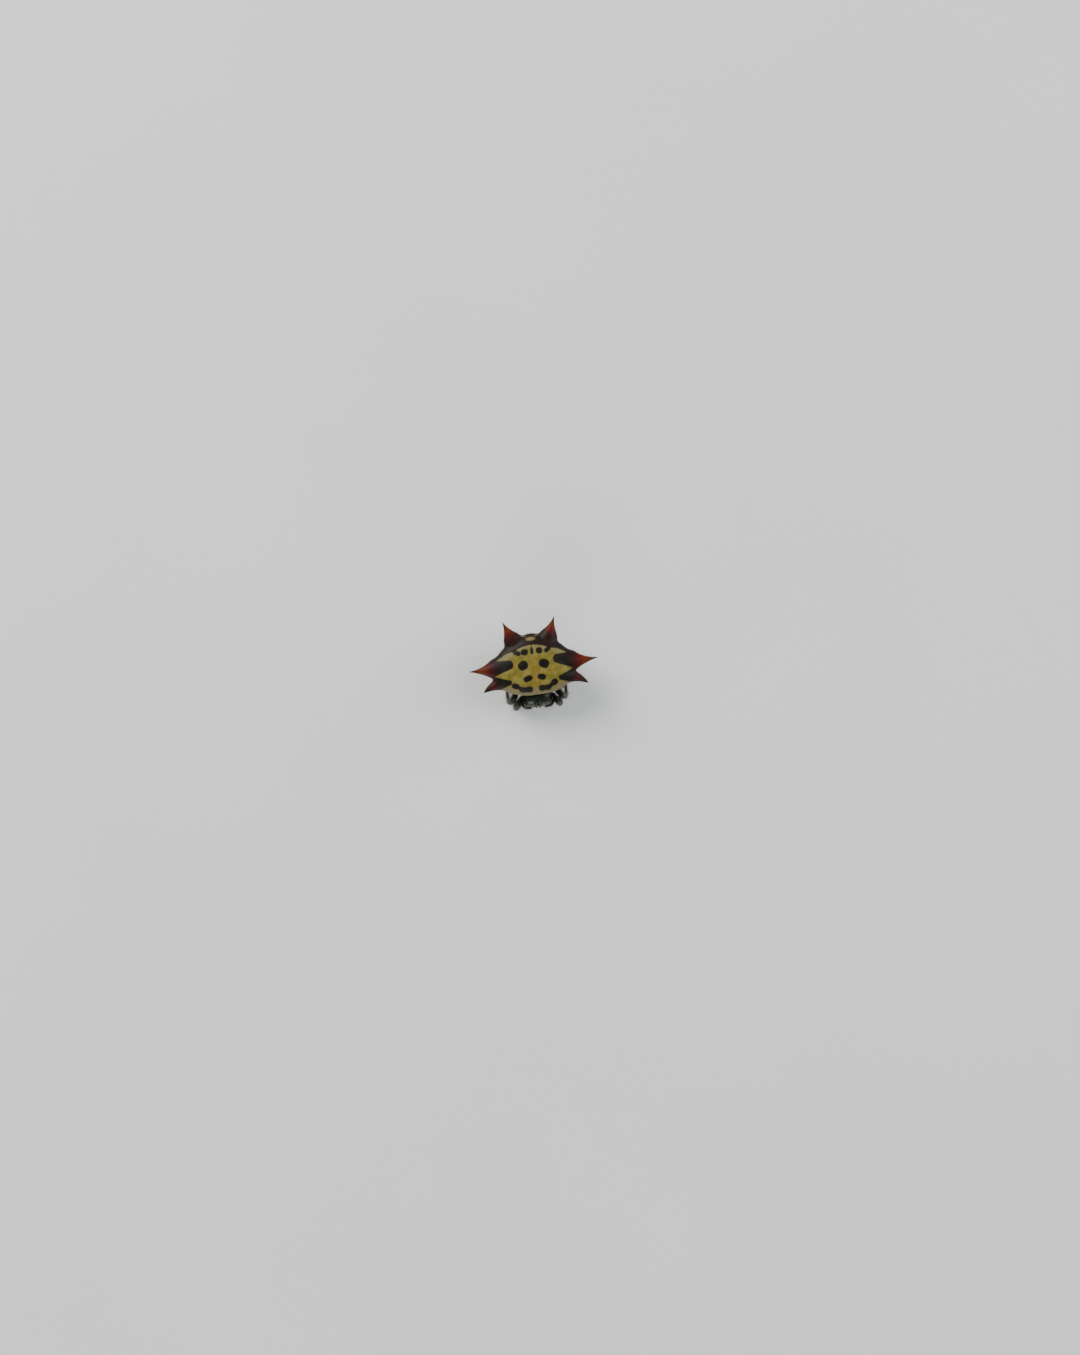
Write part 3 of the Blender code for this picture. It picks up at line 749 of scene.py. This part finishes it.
class Coat:
    """Roots for hairs, gathered from every part that carries them."""

    def __init__(self):
        self.roots, self.ways, self.lies, self.lengths, self.places = [], [], [], [], []

    def add(self, roots, ways, lies, lengths, places):
        self.roots.append(roots)
        self.ways.append(ways)
        self.lies.append(lies)
        self.lengths.append(np.broadcast_to(lengths, len(roots)))
        self.places.append(places)

    def made(self, name, material, radius, rise=0.75):
        """Solid tapered hairs that leave the skin and bend over along their lie."""
        root, way, lie = (np.concatenate(part) for part in (self.roots, self.ways, self.lies))
        length, place = np.concatenate(self.lengths), np.concatenate(self.places)
        end = hair_point(root, way, lie, length, 1.0, rise)
        inside = ((end > BOX_LOW) & (end < BOX_HIGH)).all(1)
        root, way, lie, length, place = (part[inside] for part in (root, way, lie, length, place))
        first = unit(np.cross(way, lie + 1e-4))
        second = np.cross(way, first)
        points, patches = [], []
        for share, thickness in ((-0.08, 1.0), (0.35, 0.8), (0.7, 0.5)):
            middle = hair_point(root, way, lie, length, share, rise)
            for i in range(3):
                angle = 2 * math.pi * i / 3
                offset = first * math.cos(angle) + second * math.sin(angle)
                points.append(middle + offset * (radius * thickness))
                patches.append(place + (0.001 * i, 0.003 * max(share, 0)))
        points.append(hair_point(root, way, lie, length, 1.0, rise))
        patches.append(place + (0.001, 0.003))
        faces = [(2, 1, 0)]
        for i in range(2):
            for j in range(3):
                k = (j + 1) % 3
                faces.append((3 * i + j, 3 * i + k, 3 * i + 3 + k, 3 * i + 3 + j))
        faces += [(6, 7, 9), (7, 8, 9), (8, 6, 9)]
        count = len(root)
        shape = Shape()
        every = np.stack(points, 1).reshape(-1, 3)
        shape.add(every, [tuple(10 * n + i for i in face) for n in range(count) for face in faces])
        return shape.made(name, material, np.stack(patches, 1).reshape(-1, 2))


def hair_point(root, way, lie, length, share, rise):
    bend = way * (rise * share * (1 - 0.35 * share)) + lie * (0.55 * share + 0.45 * share * abs(share))
    return root + bend * length[:, None]


def limb_hairs(coat, part, count, length, row, lean=0.6):
    """Scatters hairs over a limb piece, which has this row of the coat's map."""
    rings, path, runs = part
    along = random.uniform(0.4, len(rings) - 1.6, count)
    column = random.integers(0, rings.shape[1], count)
    low = along.astype(int)
    share = (along - low)[:, None]
    roots = rings[low, column] * (1 - share) + rings[low + 1, column] * share
    centres = path[low] * (1 - share) + path[low + 1] * share
    ways = unit(roots - centres)
    lies = runs[low] * lean + ways * 0.25 + random.normal(0, 0.12, (count, 3))
    lengths = length * random.uniform(0.6, 1.25, count)
    keep = (roots + (ways * 0.6 + lies) * lengths[:, None])[:, 2] > 0.03
    height = (row + column / rings.shape[1] * 0.9) / MAP_ROWS
    places = np.stack([along / len(rings) * 0.97, height], -1)
    coat.add(roots[keep], ways[keep], lies[keep], lengths[keep], places[keep])


def dress(coat, parts, hairs, row):
    """Scatters hairs over the pieces of one limb, each in a row of the map."""
    for index, (part, (count, length)) in enumerate(zip(parts, hairs)):
        limb_hairs(coat, part, count, length, row * ROWS_EACH + index)


def srgb(red, green, blue):
    """A colour given as 0 to 255 in a picture, as the shader's own values."""
    values = np.array((red, green, blue)) / 255
    linear = np.where(values <= 0.04045, values / 12.92, ((values + 0.055) / 1.055) ** 2.4)
    return (*(float(v) for v in linear), 1.0)


class Finish:
    """A material's nodes, built by short calls."""

    def __init__(self, name):
        self.material = bpy.data.materials.new(name)
        self.material.use_nodes = True
        self.tree = self.material.node_tree
        self.shader = self.tree.nodes["Principled BSDF"]
        self.place = self.node("TexCoord", "Object")

    def feed(self, socket, value):
        if isinstance(value, bpy.types.NodeSocket):
            self.tree.links.new(value, socket)
        else:
            socket.default_value = value

    def node(self, kind, output, inputs=(), **settings):
        """A new node with these settings and inputs, of which it gives one output."""
        node = self.tree.nodes.new("ShaderNode" + kind)
        for name, value in settings.items():
            setattr(node, name, value)
        for name, value in dict(inputs).items():
            self.feed(node.inputs[name], value)
        return node.outputs[output]

    def value(self, name):
        return self.node("Attribute", "Fac", attribute_name=name)

    def math(self, operation, first, second):
        return self.node("Math", 0, {0: first, 1: second}, operation=operation)

    def noise(self, size, detail):
        """Soft mottling whose spots are about this many millimetres across."""
        inputs = {"Vector": self.place, "Scale": 1 / (size * MM), "Detail": detail}
        return self.node("TexNoise", "Fac", inputs)

    def cells(self, size):
        return self.node("TexVoronoi", "Distance", {"Vector": self.place, "Scale": 1 / (size * MM)})

    def between(self, value, low, high, start=0.0, end=1.0):
        """Eases from start to end as the value goes from low to high."""
        inputs = {"Value": value, "From Min": low, "From Max": high, "To Min": start, "To Max": end}
        return self.node("MapRange", "Result", inputs, interpolation_type="SMOOTHSTEP")

    def swing(self, noise, amount):
        """A noise as a value on both sides of zero."""
        return self.math("MULTIPLY", self.math("SUBTRACT", noise, 0.5), amount)

    def edge(self, distance, soft, rough, size=0.12):
        """One inside a marking and none outside it, with an edge that noise roughens."""
        distance = self.math("ADD", distance, self.swing(self.noise(size, 3), rough))
        return self.between(distance, -soft, soft)

    def mix(self, share, first, second):
        return self.node("Mix", 2, {"Factor": share, 6: first, 7: second}, data_type="RGBA")

    def mottled(self, noise, first, second, low=0.35, high=0.65):
        """Patches of two colours that follow a noise."""
        return self.mix(self.between(noise, low, high), first, second)

    def ramp(self, share, stops):
        """Colours along a share. Each stop is a place and a colour from 0 to 255."""
        node = self.tree.nodes.new("ShaderNodeValToRGB")
        self.feed(node.inputs[0], share)
        elements = node.color_ramp.elements
        while len(elements) < len(stops):
            elements.new(0.5)
        for element, (place, *colour) in zip(elements, stops):
            element.position = place
            element.color = srgb(*colour)
        return node.outputs[0]

    def bump(self, height, depth):
        """Roughens the surface by this many millimetres."""
        normal = self.node("Bump", 0, {"Distance": depth * MM, "Height": height})
        self.feed(self.shader.inputs["Normal"], normal)

    def done(self, colour, roughness, **constants):
        self.feed(self.shader.inputs["Base Color"], colour)
        self.feed(self.shader.inputs["Roughness"], roughness)
        for name, value in constants.items():
            self.shader.inputs[name.replace("_", " ")].default_value = value
        return self.material


YELLOWS = ((0.34, 95, 89, 28), (0.5, 111, 101, 41), (0.66, 124, 111, 58))
SIDE_HORN_COLOURS = (
    (0.0, 34, 10, 8),
    (0.1, 44, 6, 6),
    (0.22, 66, 4, 4),
    (0.38, 78, 18, 4),
    (0.56, 86, 36, 4),
    (0.76, 74, 34, 4),
    (0.85, 46, 20, 6),
    (0.9, 14, 8, 6),
)
FRONT_HORN_COLOURS = (
    (0.0, 20, 12, 10),
    (0.14, 30, 9, 7),
    (0.3, 57, 11, 5),
    (0.5, 49, 14, 6),
    (0.76, 30, 12, 6),
    (0.87, 14, 8, 6),
)
SIDE_TIP_COLOURS = ((0.0, 74, 34, 4), (0.5, 46, 20, 6), (0.75, 14, 8, 6))
FRONT_TIP_COLOURS = ((0.0, 30, 12, 6), (0.6, 14, 8, 6))


def horn_colour(look, share, side_stops, front_stops):
    """One ramp on the side and rear horns, and a darker one on the front horns, of kind 2."""
    front = look.between(look.value("kind"), 1.4, 1.6)
    return look.mix(front, look.ramp(share, side_stops), look.ramp(share, front_stops))


def shield_finish():
    """Yellow with sunk black spots and painted highlights on the rims, brown behind, red on the horns and
    spotted underneath.
    """
    look = Finish("shield_cuticle")
    fine, broad, dark = look.noise(0.09, 4), look.noise(0.55, 3), look.value("dark")
    yellow = look.ramp(broad, YELLOWS)
    yellow = look.mix(look.math("MULTIPLY", look.value("warm"), 0.6), yellow, srgb(108, 83, 18))
    # Painted highlight on the front rim and the crescent, and a paler strip before the rear band
    yellow = look.mix(look.value("pale"), yellow, srgb(109, 100, 65))
    flecks = look.between(look.noise(0.06, 2), 0.56, 0.7, 0.0, 0.35)
    yellow = look.mix(flecks, yellow, srgb(64, 48, 10))
    halo = look.math("MULTIPLY", look.edge(dark, 0.16, 0.12), 0.6)
    yellow = look.mix(halo, yellow, srgb(58, 40, 6))
    black = look.mottled(broad, srgb(14, 10, 5), srgb(22, 19, 10))
    top = look.mix(look.edge(dark, 0.035, 0.08), yellow, black)
    brown = look.mottled(broad, srgb(34, 14, 8), srgb(20, 12, 9))
    # The pale rear mark, with the rear wings as a painted highlight in the same colour
    brown = look.mix(look.edge(look.value("rear_mark_and_highlight"), 0.09, 0.14), brown, srgb(108, 97, 58))
    top = look.mix(look.edge(look.value("band"), 0.05, 0.1), top, brown)
    top = look.mix(look.edge(look.value("blush"), 0.14, 0.2), top, srgb(66, 6, 5))
    share = look.math("ADD", look.value("horn"), look.swing(look.noise(0.3, 4), 0.22))
    red = horn_colour(look, share, SIDE_HORN_COLOURS, FRONT_HORN_COLOURS)
    on_horn = look.between(share, -0.12, 0.12)
    top = look.mix(on_horn, top, red)
    belly = look.mottled(broad, srgb(18, 13, 10), srgb(32, 22, 15), 0.4, 0.6)
    belly = look.mix(look.edge(look.value("spots"), 0.04, 0.16, 0.2), belly, srgb(160, 132, 40))
    belly = look.mix(on_horn, belly, red)
    colour = look.mix(look.value("under"), top, belly)
    look.bump(look.math("ADD", look.cells(0.085), look.math("MULTIPLY", fine, 0.8)), 0.004)
    gloss = look.math("ADD", look.between(dark, -0.04, 0.05, 0.46, 0.48), look.swing(fine, 0.25))
    return look.done(colour, gloss, Specular_IOR_Level=0.15)


def tip_finish():
    """The horns' points, brown where they leave the skin and almost black at the end."""
    look = Finish("horn_tip_cuticle")
    fine = look.noise(0.06, 3)
    share = look.math("ADD", look.value("point"), look.swing(fine, 0.2))
    colour = horn_colour(look, share, SIDE_TIP_COLOURS, FRONT_TIP_COLOURS)
    return look.done(colour, look.between(fine, 0.3, 0.7, 0.34, 0.46), Specular_IOR_Level=0.3)


def dark_finish():
    """Black-green cuticle of the head part, with a pale patch on the sternum."""
    look = Finish("dark_cuticle")
    broad, fine = look.noise(0.4, 3), look.noise(0.07, 4)
    colour = look.mottled(broad, srgb(10, 20, 12), srgb(22, 31, 18))
    colour = look.mix(look.edge(look.value("sternum"), 0.04, 0.1), colour, srgb(150, 126, 54))
    look.bump(look.math("ADD", look.cells(0.06), fine), 0.0025)
    return look.done(colour, look.between(fine, 0.3, 0.7, 0.26, 0.4), Specular_IOR_Level=0.32)


def leg_finish():
    """Dark olive cuticle, paler towards each joint."""
    look = Finish("leg_cuticle")
    broad, fine = look.noise(0.35, 3), look.noise(0.06, 4)
    colour = look.mottled(broad, srgb(23, 25, 15), srgb(44, 45, 25))
    pale = look.edge(look.math("SUBTRACT", look.value("joint"), 0.7), 0.35, 0.5)
    colour = look.mix(look.math("MULTIPLY", pale, 0.55), colour, srgb(56, 50, 30))
    look.bump(look.math("ADD", look.cells(0.05), fine), 0.0035)
    return look.done(colour, look.between(fine, 0.3, 0.7, 0.26, 0.4), Specular_IOR_Level=0.5)


def claw_finish(name, first, second, smoothest):
    """Hard, dark pieces: the fangs, the spinnerets and the horns' grains."""
    look = Finish(name)
    fine = look.noise(0.08, 4)
    look.bump(fine, 0.005)
    gloss = look.between(fine, 0.3, 0.7, smoothest, smoothest + 0.12)
    return look.done(look.mottled(fine, first, second), gloss, Specular_IOR_Level=0.4)


def eye_finish():
    """A clear, black lens in a brown rim."""
    look = Finish("eye_lens")
    in_lens = look.value("lens")
    lens = look.mottled(look.noise(0.05, 2), srgb(12, 9, 7), srgb(20, 12, 8), 0.4, 0.6)
    colour = look.mix(in_lens, srgb(58, 34, 18), lens)
    gloss = look.between(in_lens, 0.3, 0.7, 0.35, 0.08)
    return look.done(colour, gloss, Specular_IOR_Level=0.4, Coat_Weight=0.25, Coat_Roughness=0.03)


def hair_finish(name, first, second):
    look = Finish(name)
    colour = look.mottled(look.noise(0.3, 2), first, second, 0.4, 0.6)
    return look.done(colour, look.between(look.noise(0.1, 1), 0.3, 0.7, 0.4, 0.55))


def floor_finish():
    look = Finish("studio_floor")
    colour = look.mottled(look.noise(30, 2), (0.7, 0.71, 0.7, 1), (0.73, 0.73, 0.72, 1), 0.3, 0.7)
    return look.done(colour, look.between(look.noise(4, 2), 0.3, 0.7, 0.6, 0.7))


def make_skin(name, field, box, steps, marks_of, relief_of, material, node):
    """Makes a whole skin inside the solids' box, and gives its points, ways out and marks."""
    fine_step, quick_step = steps
    points, faces = surface_net(field, *box, fine_step)
    points, ways = settled(field, points, faces)
    marks = marks_of(points, ways)
    points = np.clip(points + ways * relief_of(points, ways, marks)[:, None], BOX_LOW, BOX_HIGH)
    shape = Shape()
    shape.add(points, faces, **marks)
    shape.stands_for(node, name, material)
    return points, ways, marks


def mirrored(place, side):
    return np.array(place, float) * (side, 1, 1)


def add_claws(shape, heel, claw):
    """Two curved claws and a short middle hook at the end of a tarsus."""
    run = unit(claw - heel)
    across = unit(np.cross(run, (0, 0, 1)))
    share = np.linspace(0, 1, 9)[:, None]
    thickness = CLAW_RADIUS * (1 - share[:, 0]) ** 0.7 + 0.003
    arch = 0.05 * np.sin(math.pi * share[:, 0]) - 0.06 * share[:, 0] ** 2
    for offset, reach in CLAW_REACHES:
        root = claw + across * offset - run * 0.02
        path = root + run * reach * share + across * offset * 1.2 * share
        path[:, 2] = np.maximum(claw[2] + arch, LOWEST_CLAW)
        tube(shape, path, thickness, 8, joint=0.0)


def make_leg(name, number, side, material, coat, row):
    rows = (COXAE, TROCHANTERS, KNEES, PATELLA_ENDS, ANKLES, HEELS, CLAWS)
    joints = [mirrored(joint_row[number], side) for joint_row in rows]
    coxa, trochanter, knee, patella_end, ankle, heel, claw = joints
    femur_start = trochanter + unit(knee - trochanter) * TROCHANTER_LENGTH
    shape = Shape()
    piece(shape, coxa, trochanter, COXA)
    parts = (
        piece(shape, trochanter, femur_start, TROCHANTER),
        piece(shape, femur_start, knee, FEMUR, 0.06),
        piece(shape, knee, patella_end, PATELLA),
        piece(shape, patella_end, ankle, TIBIA, 0.05),
        piece(shape, ankle, heel, METATARSUS, 0.04),
        piece(shape, heel, claw, TARSUS),
    )
    dress(coat, parts, LEG_HAIRS, row)
    add_claws(shape, heel, claw)
    shape.stands_for(name, name + "_cuticle", material)


def make_palp(name, side, material, coat, row):
    root, knee, bend, tip = (mirrored(joint, side) for joint in PALP_JOINTS)
    joints = (root, knee, bend, bend * 0.45 + tip * 0.55, tip)
    shape = Shape()
    parts = [piece(shape, *ends) for ends in zip(joints, joints[1:], PALP_PIECES)]
    dress(coat, parts, PALP_HAIRS, row)
    shape.stands_for(name, name + "_cuticle", material)


def make_chelicera(name, side, material, coat, row):
    """A stout jaw with a bulging front and a row of teeth, which gives back where its fang starts and
    ends.
    """
    top, end = mirrored(CHELICERA_TOP, side), mirrored(CHELICERA_END, side)
    share = np.linspace(0, 1, 22)
    path = top + share[:, None] * (end - top)
    path[:, 1] -= CHELICERA_BULGE * np.sin(math.pi * share**0.8)
    radii = np.interp(share, *np.transpose(CHELICERA_RADII))
    shape = Shape()
    rings, runs = tube(shape, path, radii, 24, sternum=-1.0)
    dress(coat, [(rings, path, runs)], [(130, 0.15)], row)
    for height, reach in JAW_TEETH:
        root, run = np.array((side * 0.22, -3.72, height)), np.array((-side * reach, -0.02, -0.05))
        tooth = root + np.linspace(0, 1, 5)[:, None] * run
        tube(shape, tooth, np.linspace(0.035, 0.006, 5), 8, sternum=-1.0)
    shape.stands_for(name, name + "_cuticle", material)
    return end, mirrored(FANG_TIP, side)


def make_fang(name, start, end, material):
    share = np.linspace(0, 1, 14)
    path = start + share[:, None] * (end - start)
    path[:, 2] -= FANG_BOW * np.sin(math.pi * share)
    shape = Shape()
    tube(shape, path, FANG_RADIUS * (1 - share) ** 0.75 + 0.008, 14, joint=0.0)
    shape.made(name, material)


def make_eyes(name, eyes, radius, sides, centre, material):
    """Domed lenses, each in a low rim, that look outwards from the head."""
    shape = Shape()
    dome = [(math.cos(a) * 0.98, 0.2 + math.sin(a) * 0.78) for a in np.radians(np.arange(6, 90, 9))]
    widths, heights = np.array(EYE_RIM + dome).T
    in_lens = (np.arange(len(widths)) >= len(EYE_RIM)).astype(float)
    for eye in eyes:
        for side in sides:
            place = mirrored(eye, side)
            way = unit(place - mirrored(centre, side))
            path = place + way * radius * (heights[:, None] - 0.1)
            tube(shape, path, radius * widths, 28, lens=in_lens)
    shape.stands_for(name, name + "_lenses", material)


def make_spinnerets(material, coat, row):
    """Two large pairs round a small one, with the anal tubercle behind them."""
    shape = Shape()
    cones = []
    for angle, spacing, reach, radius in SPINNERETS:
        outward = np.array((math.cos(math.radians(angle)), math.sin(math.radians(angle)), 0))
        root = np.array((0, CONE_SHIFT, 1.02)) + outward * spacing
        tip = root + (0, 0, -1.3 * reach) - outward * 0.1
        cones.append(piece(shape, root, tip, (radius, radius * 0.95, radius * 0.55)))
    cones.append(piece(shape, *TUBERCLE))
    for index, cone in enumerate(cones):
        limb_hairs(coat, cone, 14, 0.1, row * ROWS_EACH + min(index, ROWS_EACH - 1), 1.0)
    shape.stands_for("spinnerets", "spinnerets_cuticle", material)


def make_knobs(skin_parts, material):
    """Small blunt grains on the horns, each seated in the skin."""
    points, ways, marks = skin_parts
    weight = on_horns(marks, 0.8) + 1e-9
    chosen = random.choice(len(points), KNOB_COUNT, replace=False, p=weight / weight.sum())
    shape = Shape()
    angles = 2 * math.pi * np.arange(6) / 6
    turns = [(i, (i + 1) % 6) for i in range(6)]
    faces = [(i + low, k + low, k + low + 6, i + low + 6) for low in (0, 6) for i, k in turns]
    faces += [(12 + i, 12 + k, 18) for i, k in turns]
    faces += [(k, i, 19) for i, k in turns]
    for root, way in zip(points[chosen], ways[chosen]):
        first = unit(np.cross(way, (0.3, 0.5, 0.8)))
        second = np.cross(way, first)
        size = random.uniform(*KNOB_SIZES)
        ring = first * np.cos(angles)[:, None] + second * np.sin(angles)[:, None]
        rings = [root + size * (wide * ring + high * way) for wide, high in KNOB_PROFILE]
        top, bottom = root + way * size * 0.72, root - way * size * 0.4
        shape.add(np.concatenate([*rings, [top], [bottom]]), faces)
    shape.made("horn_grains", material)


def make_tips(material):
    """The hard point of each horn, drawn out finer than the skin's own mesh."""
    shape = Shape()
    share = np.linspace(TIP_START, TIP_END, 20)
    whole = np.linspace(0, 1, HORN_RUNS + 1)
    point = (share - TIP_START) / (1 - TIP_START)
    for i, (axis, radius, flatness) in enumerate(HORNS):
        path = np.stack([np.interp(share, whole, axis[:, k]) for k in range(3)], -1)
        thin = np.interp(share, whole, radius) + 0.003
        thin *= np.sqrt(np.clip((TIP_END - share) / 0.03, 0.01, 1))
        thin[0] -= TIP_SINK
        tube(shape, path, thin, 20, np.interp(share, whole, flatness), point=point, kind=i % 3)
    shape.made("horn_tips", material)


def dome_places(points, centre, row_middle):
    """Where points lie on an unwrap of the shell they grow from, one square for each half."""
    offset = points - centre
    x, y, z = offset.T
    turn = np.arctan2(y, x)
    fall = np.arccos(np.clip(z / (np.linalg.norm(offset, axis=1) + 1e-6), -1, 1))
    lower = fall > math.pi / 2
    reach = np.where(lower, math.pi - fall, fall) / (math.pi / 2) * 0.23
    middle = np.where(lower, 0.75, 0.25)
    return np.stack([middle + reach * np.cos(turn), row_middle + reach * np.sin(turn)], -1)


def scatter(coat, skin_parts, weight, lies, count, length, lean, centre, row_middle):
    """Scatters hairs over a skin, thicker where the weight is higher."""
    points, ways, _ = skin_parts
    weight = weight + 1e-9
    chosen = random.choice(len(points), count, replace=False, p=weight / weight.sum())
    roots, outward = points[chosen], ways[chosen]
    lies = np.broadcast_to(lies, points.shape)[chosen]
    lies = lies - outward * (lies * outward).sum(1)[:, None]
    lies /= np.linalg.norm(lies, axis=1)[:, None] + 1e-6
    lies = lies * lean + random.normal(0, 0.15, lies.shape)
    lengths = length * random.uniform(0.6, 1.3, count)
    coat.add(roots, outward, lies, lengths, dome_places(roots, centre, row_middle))


def on_horns(marks, end):
    """The share of each point that lies on a horn, up to this far along it."""
    horn = marks["horn"]
    return smooth_step(horn, -0.1, 0.1) * smooth_step(end - horn, 0, 0.2)


def make_abdomen_hairs(shield, material):
    """Hairs over the belly and, in the map's upper half, on the horns."""
    points, _, marks = shield
    coat = Coat()
    middle = np.array((0, 0, RIM_HEIGHT - 1.2))
    under = marks["under"] * smooth_step(points[:, 2], 1.3, 1.8)
    scatter(coat, shield, under, points - (0, CONE_SHIFT, 0), 900, 0.17, 0.5, middle, 0.25)
    scatter(coat, shield, on_horns(marks, 0.85), points * (1, 1, 0.2), 420, 0.15, 0.6, middle, 0.75)
    coat.made("abdomen_hairs", material, 0.0065)


def make_carapace_hairs(head, material):
    """Hairs on the head's back and face and, in the map's upper half, under it."""
    points, ways, _ = head
    coat = Coat()
    middle = np.array((0, BODY_MIDDLE_Y, CARAPACE_EDGE))
    top = smooth_step(ways[:, 2], -0.1, 0.3) * smooth_step(-points[:, 1], 1.5, 2.3)
    scatter(coat, head, top, (0, -1, 0.2), 700, 0.2, 0.7, middle, 0.25)
    face = smooth_step(-ways[:, 1], 0.3, 0.7) * smooth_step(points[:, 2], 1.85, 2.05)
    scatter(coat, head, face, points * (0.4, 0, 0) - (0, 0, 1), 420, 0.13, 0.6, middle, 0.25)
    below = smooth_step(-ways[:, 2], 0.2, 0.6)
    scatter(coat, head, below, (0, 1, 0), 200, 0.14, 0.7, middle, 0.75)
    coat.made("carapace_hairs", material, 0.0045)


def make_model():
    shield_look, dark_look, leg_look, eye_look = shield_finish(), dark_finish(), leg_finish(), eye_finish()
    fang_look = claw_finish("fang_cuticle", srgb(18, 12, 10), srgb(52, 22, 14), 0.16)
    brown_look = claw_finish("spinneret_cuticle", srgb(54, 34, 22), srgb(84, 54, 32), 0.34)
    grain_look = claw_finish("grain_cuticle", srgb(64, 18, 8), srgb(34, 12, 8), 0.5)
    shield = make_skin(
        "abdomen_skin", shield_field, SHIELD_BOX, SHIELD_STEPS, shield_marks, shield_relief,
        shield_look, "abdomen",
    )
    head = make_skin(
        "cephalothorax_skin", head_field, HEAD_BOX, HEAD_STEPS, head_marks, head_relief,
        dark_look, "cephalothorax",
    )
    coat = Coat()
    row = 0
    for side, side_name in SIDES:
        for number in range(4):
            make_leg(f"leg_{number + 1}_{side_name}", number, side, leg_look, coat, row)
            row += 1
        make_palp(f"pedipalp_{side_name}", side, leg_look, coat, row)
        row += 1
        start, end = make_chelicera(f"chelicera_{side_name}", side, dark_look, coat, row)
        row += 1
        make_fang(f"fang_{side_name}", start, end, fang_look)
        name = f"eyes_{side_name}"
        make_eyes(name, LATERAL_EYES, LATERAL_EYE_RADIUS, (side,), LATERAL_MOUND, eye_look)
    make_eyes("eyes_median", MEDIAN_EYES, MEDIAN_EYE_RADIUS, (1, -1), MEDIAN_EYE_CENTRE, eye_look)
    make_spinnerets(brown_look, coat, row)
    make_knobs(shield, grain_look)
    make_tips(tip_finish())
    dark_hair = hair_finish("dark_hair", srgb(40, 28, 18), srgb(72, 52, 32))
    pale_hair = hair_finish("pale_hair", srgb(84, 78, 58), srgb(124, 116, 92))
    coat.made("limb_hairs", dark_hair, 0.0055)
    make_abdomen_hairs(shield, dark_hair)
    make_carapace_hairs(head, pale_hair)


# The photo's framing: the frame's height at the shield's level, its middle, and its roll
FRAME_HEIGHT = 0.1307
CAMERA_LENS = 100.0
SENSOR = 36.0
CAMERA_PLACE = (0.000489, -0.001309)
CAMERA_ROLL = math.atan2(0.1149, 0.9934)

# Each lamp: place, width, power, colour
LAMPS = {
    "key": ((-0.26, 0.3, 0.3), 0.36, 3.3, (1.0, 0.985, 0.96)),
    "front": ((-0.16, -0.46, 0.12), 0.3, 1.5, (1.0, 0.99, 0.97)),
    "fill": ((0.42, 0.06, 0.28), 0.5, 2.3, (0.95, 0.98, 1.0)),
}
SKY_COLOUR = (0.9, 0.94, 1.0, 1.0)
SKY_STRENGTH = 0.35
FLOOR_HALF = 3.0


def placed(name, data):
    """A new object with this data, in the scene."""
    obj = bpy.data.objects.new(name, data)
    bpy.context.scene.collection.objects.link(obj)
    return obj


def make_camera():
    data = bpy.data.cameras.new("camera")
    data.lens = CAMERA_LENS
    data.sensor_width = SENSOR
    data.clip_start = 0.001
    height = RIM_HEIGHT * MM + FRAME_HEIGHT * CAMERA_LENS / SENSOR
    camera = placed("camera", data)
    roll = Matrix.Rotation(-CAMERA_ROLL, 4, "Z")
    camera.matrix_world = Matrix.Translation((*CAMERA_PLACE, height)) @ roll
    bpy.context.scene.camera = camera


def make_studio():
    mesh = bpy.data.meshes.new("floor")
    corners = [(x * FLOOR_HALF, y * FLOOR_HALF, 0) for x, y in ((-1, -1), (1, -1), (1, 1), (-1, 1))]
    mesh.from_pydata(corners, [], [(0, 1, 2, 3)])
    mesh.materials.append(floor_finish())
    placed("floor", mesh)
    for name, (place, size, power, colour) in LAMPS.items():
        data = bpy.data.lights.new(name, "AREA")
        data.shape = "DISK"
        data.size, data.energy, data.color = size, power, colour
        lamp = placed(name, data)
        lamp.location = place
        lamp.rotation_euler = (-Vector(place)).to_track_quat("-Z", "Y").to_euler()
    world = bpy.data.worlds.new("studio")
    world.use_nodes = True
    background = world.node_tree.nodes["Background"]
    background.inputs["Color"].default_value = SKY_COLOUR
    background.inputs["Strength"].default_value = SKY_STRENGTH
    bpy.context.scene.world = world


make_model()
make_camera()
make_studio()
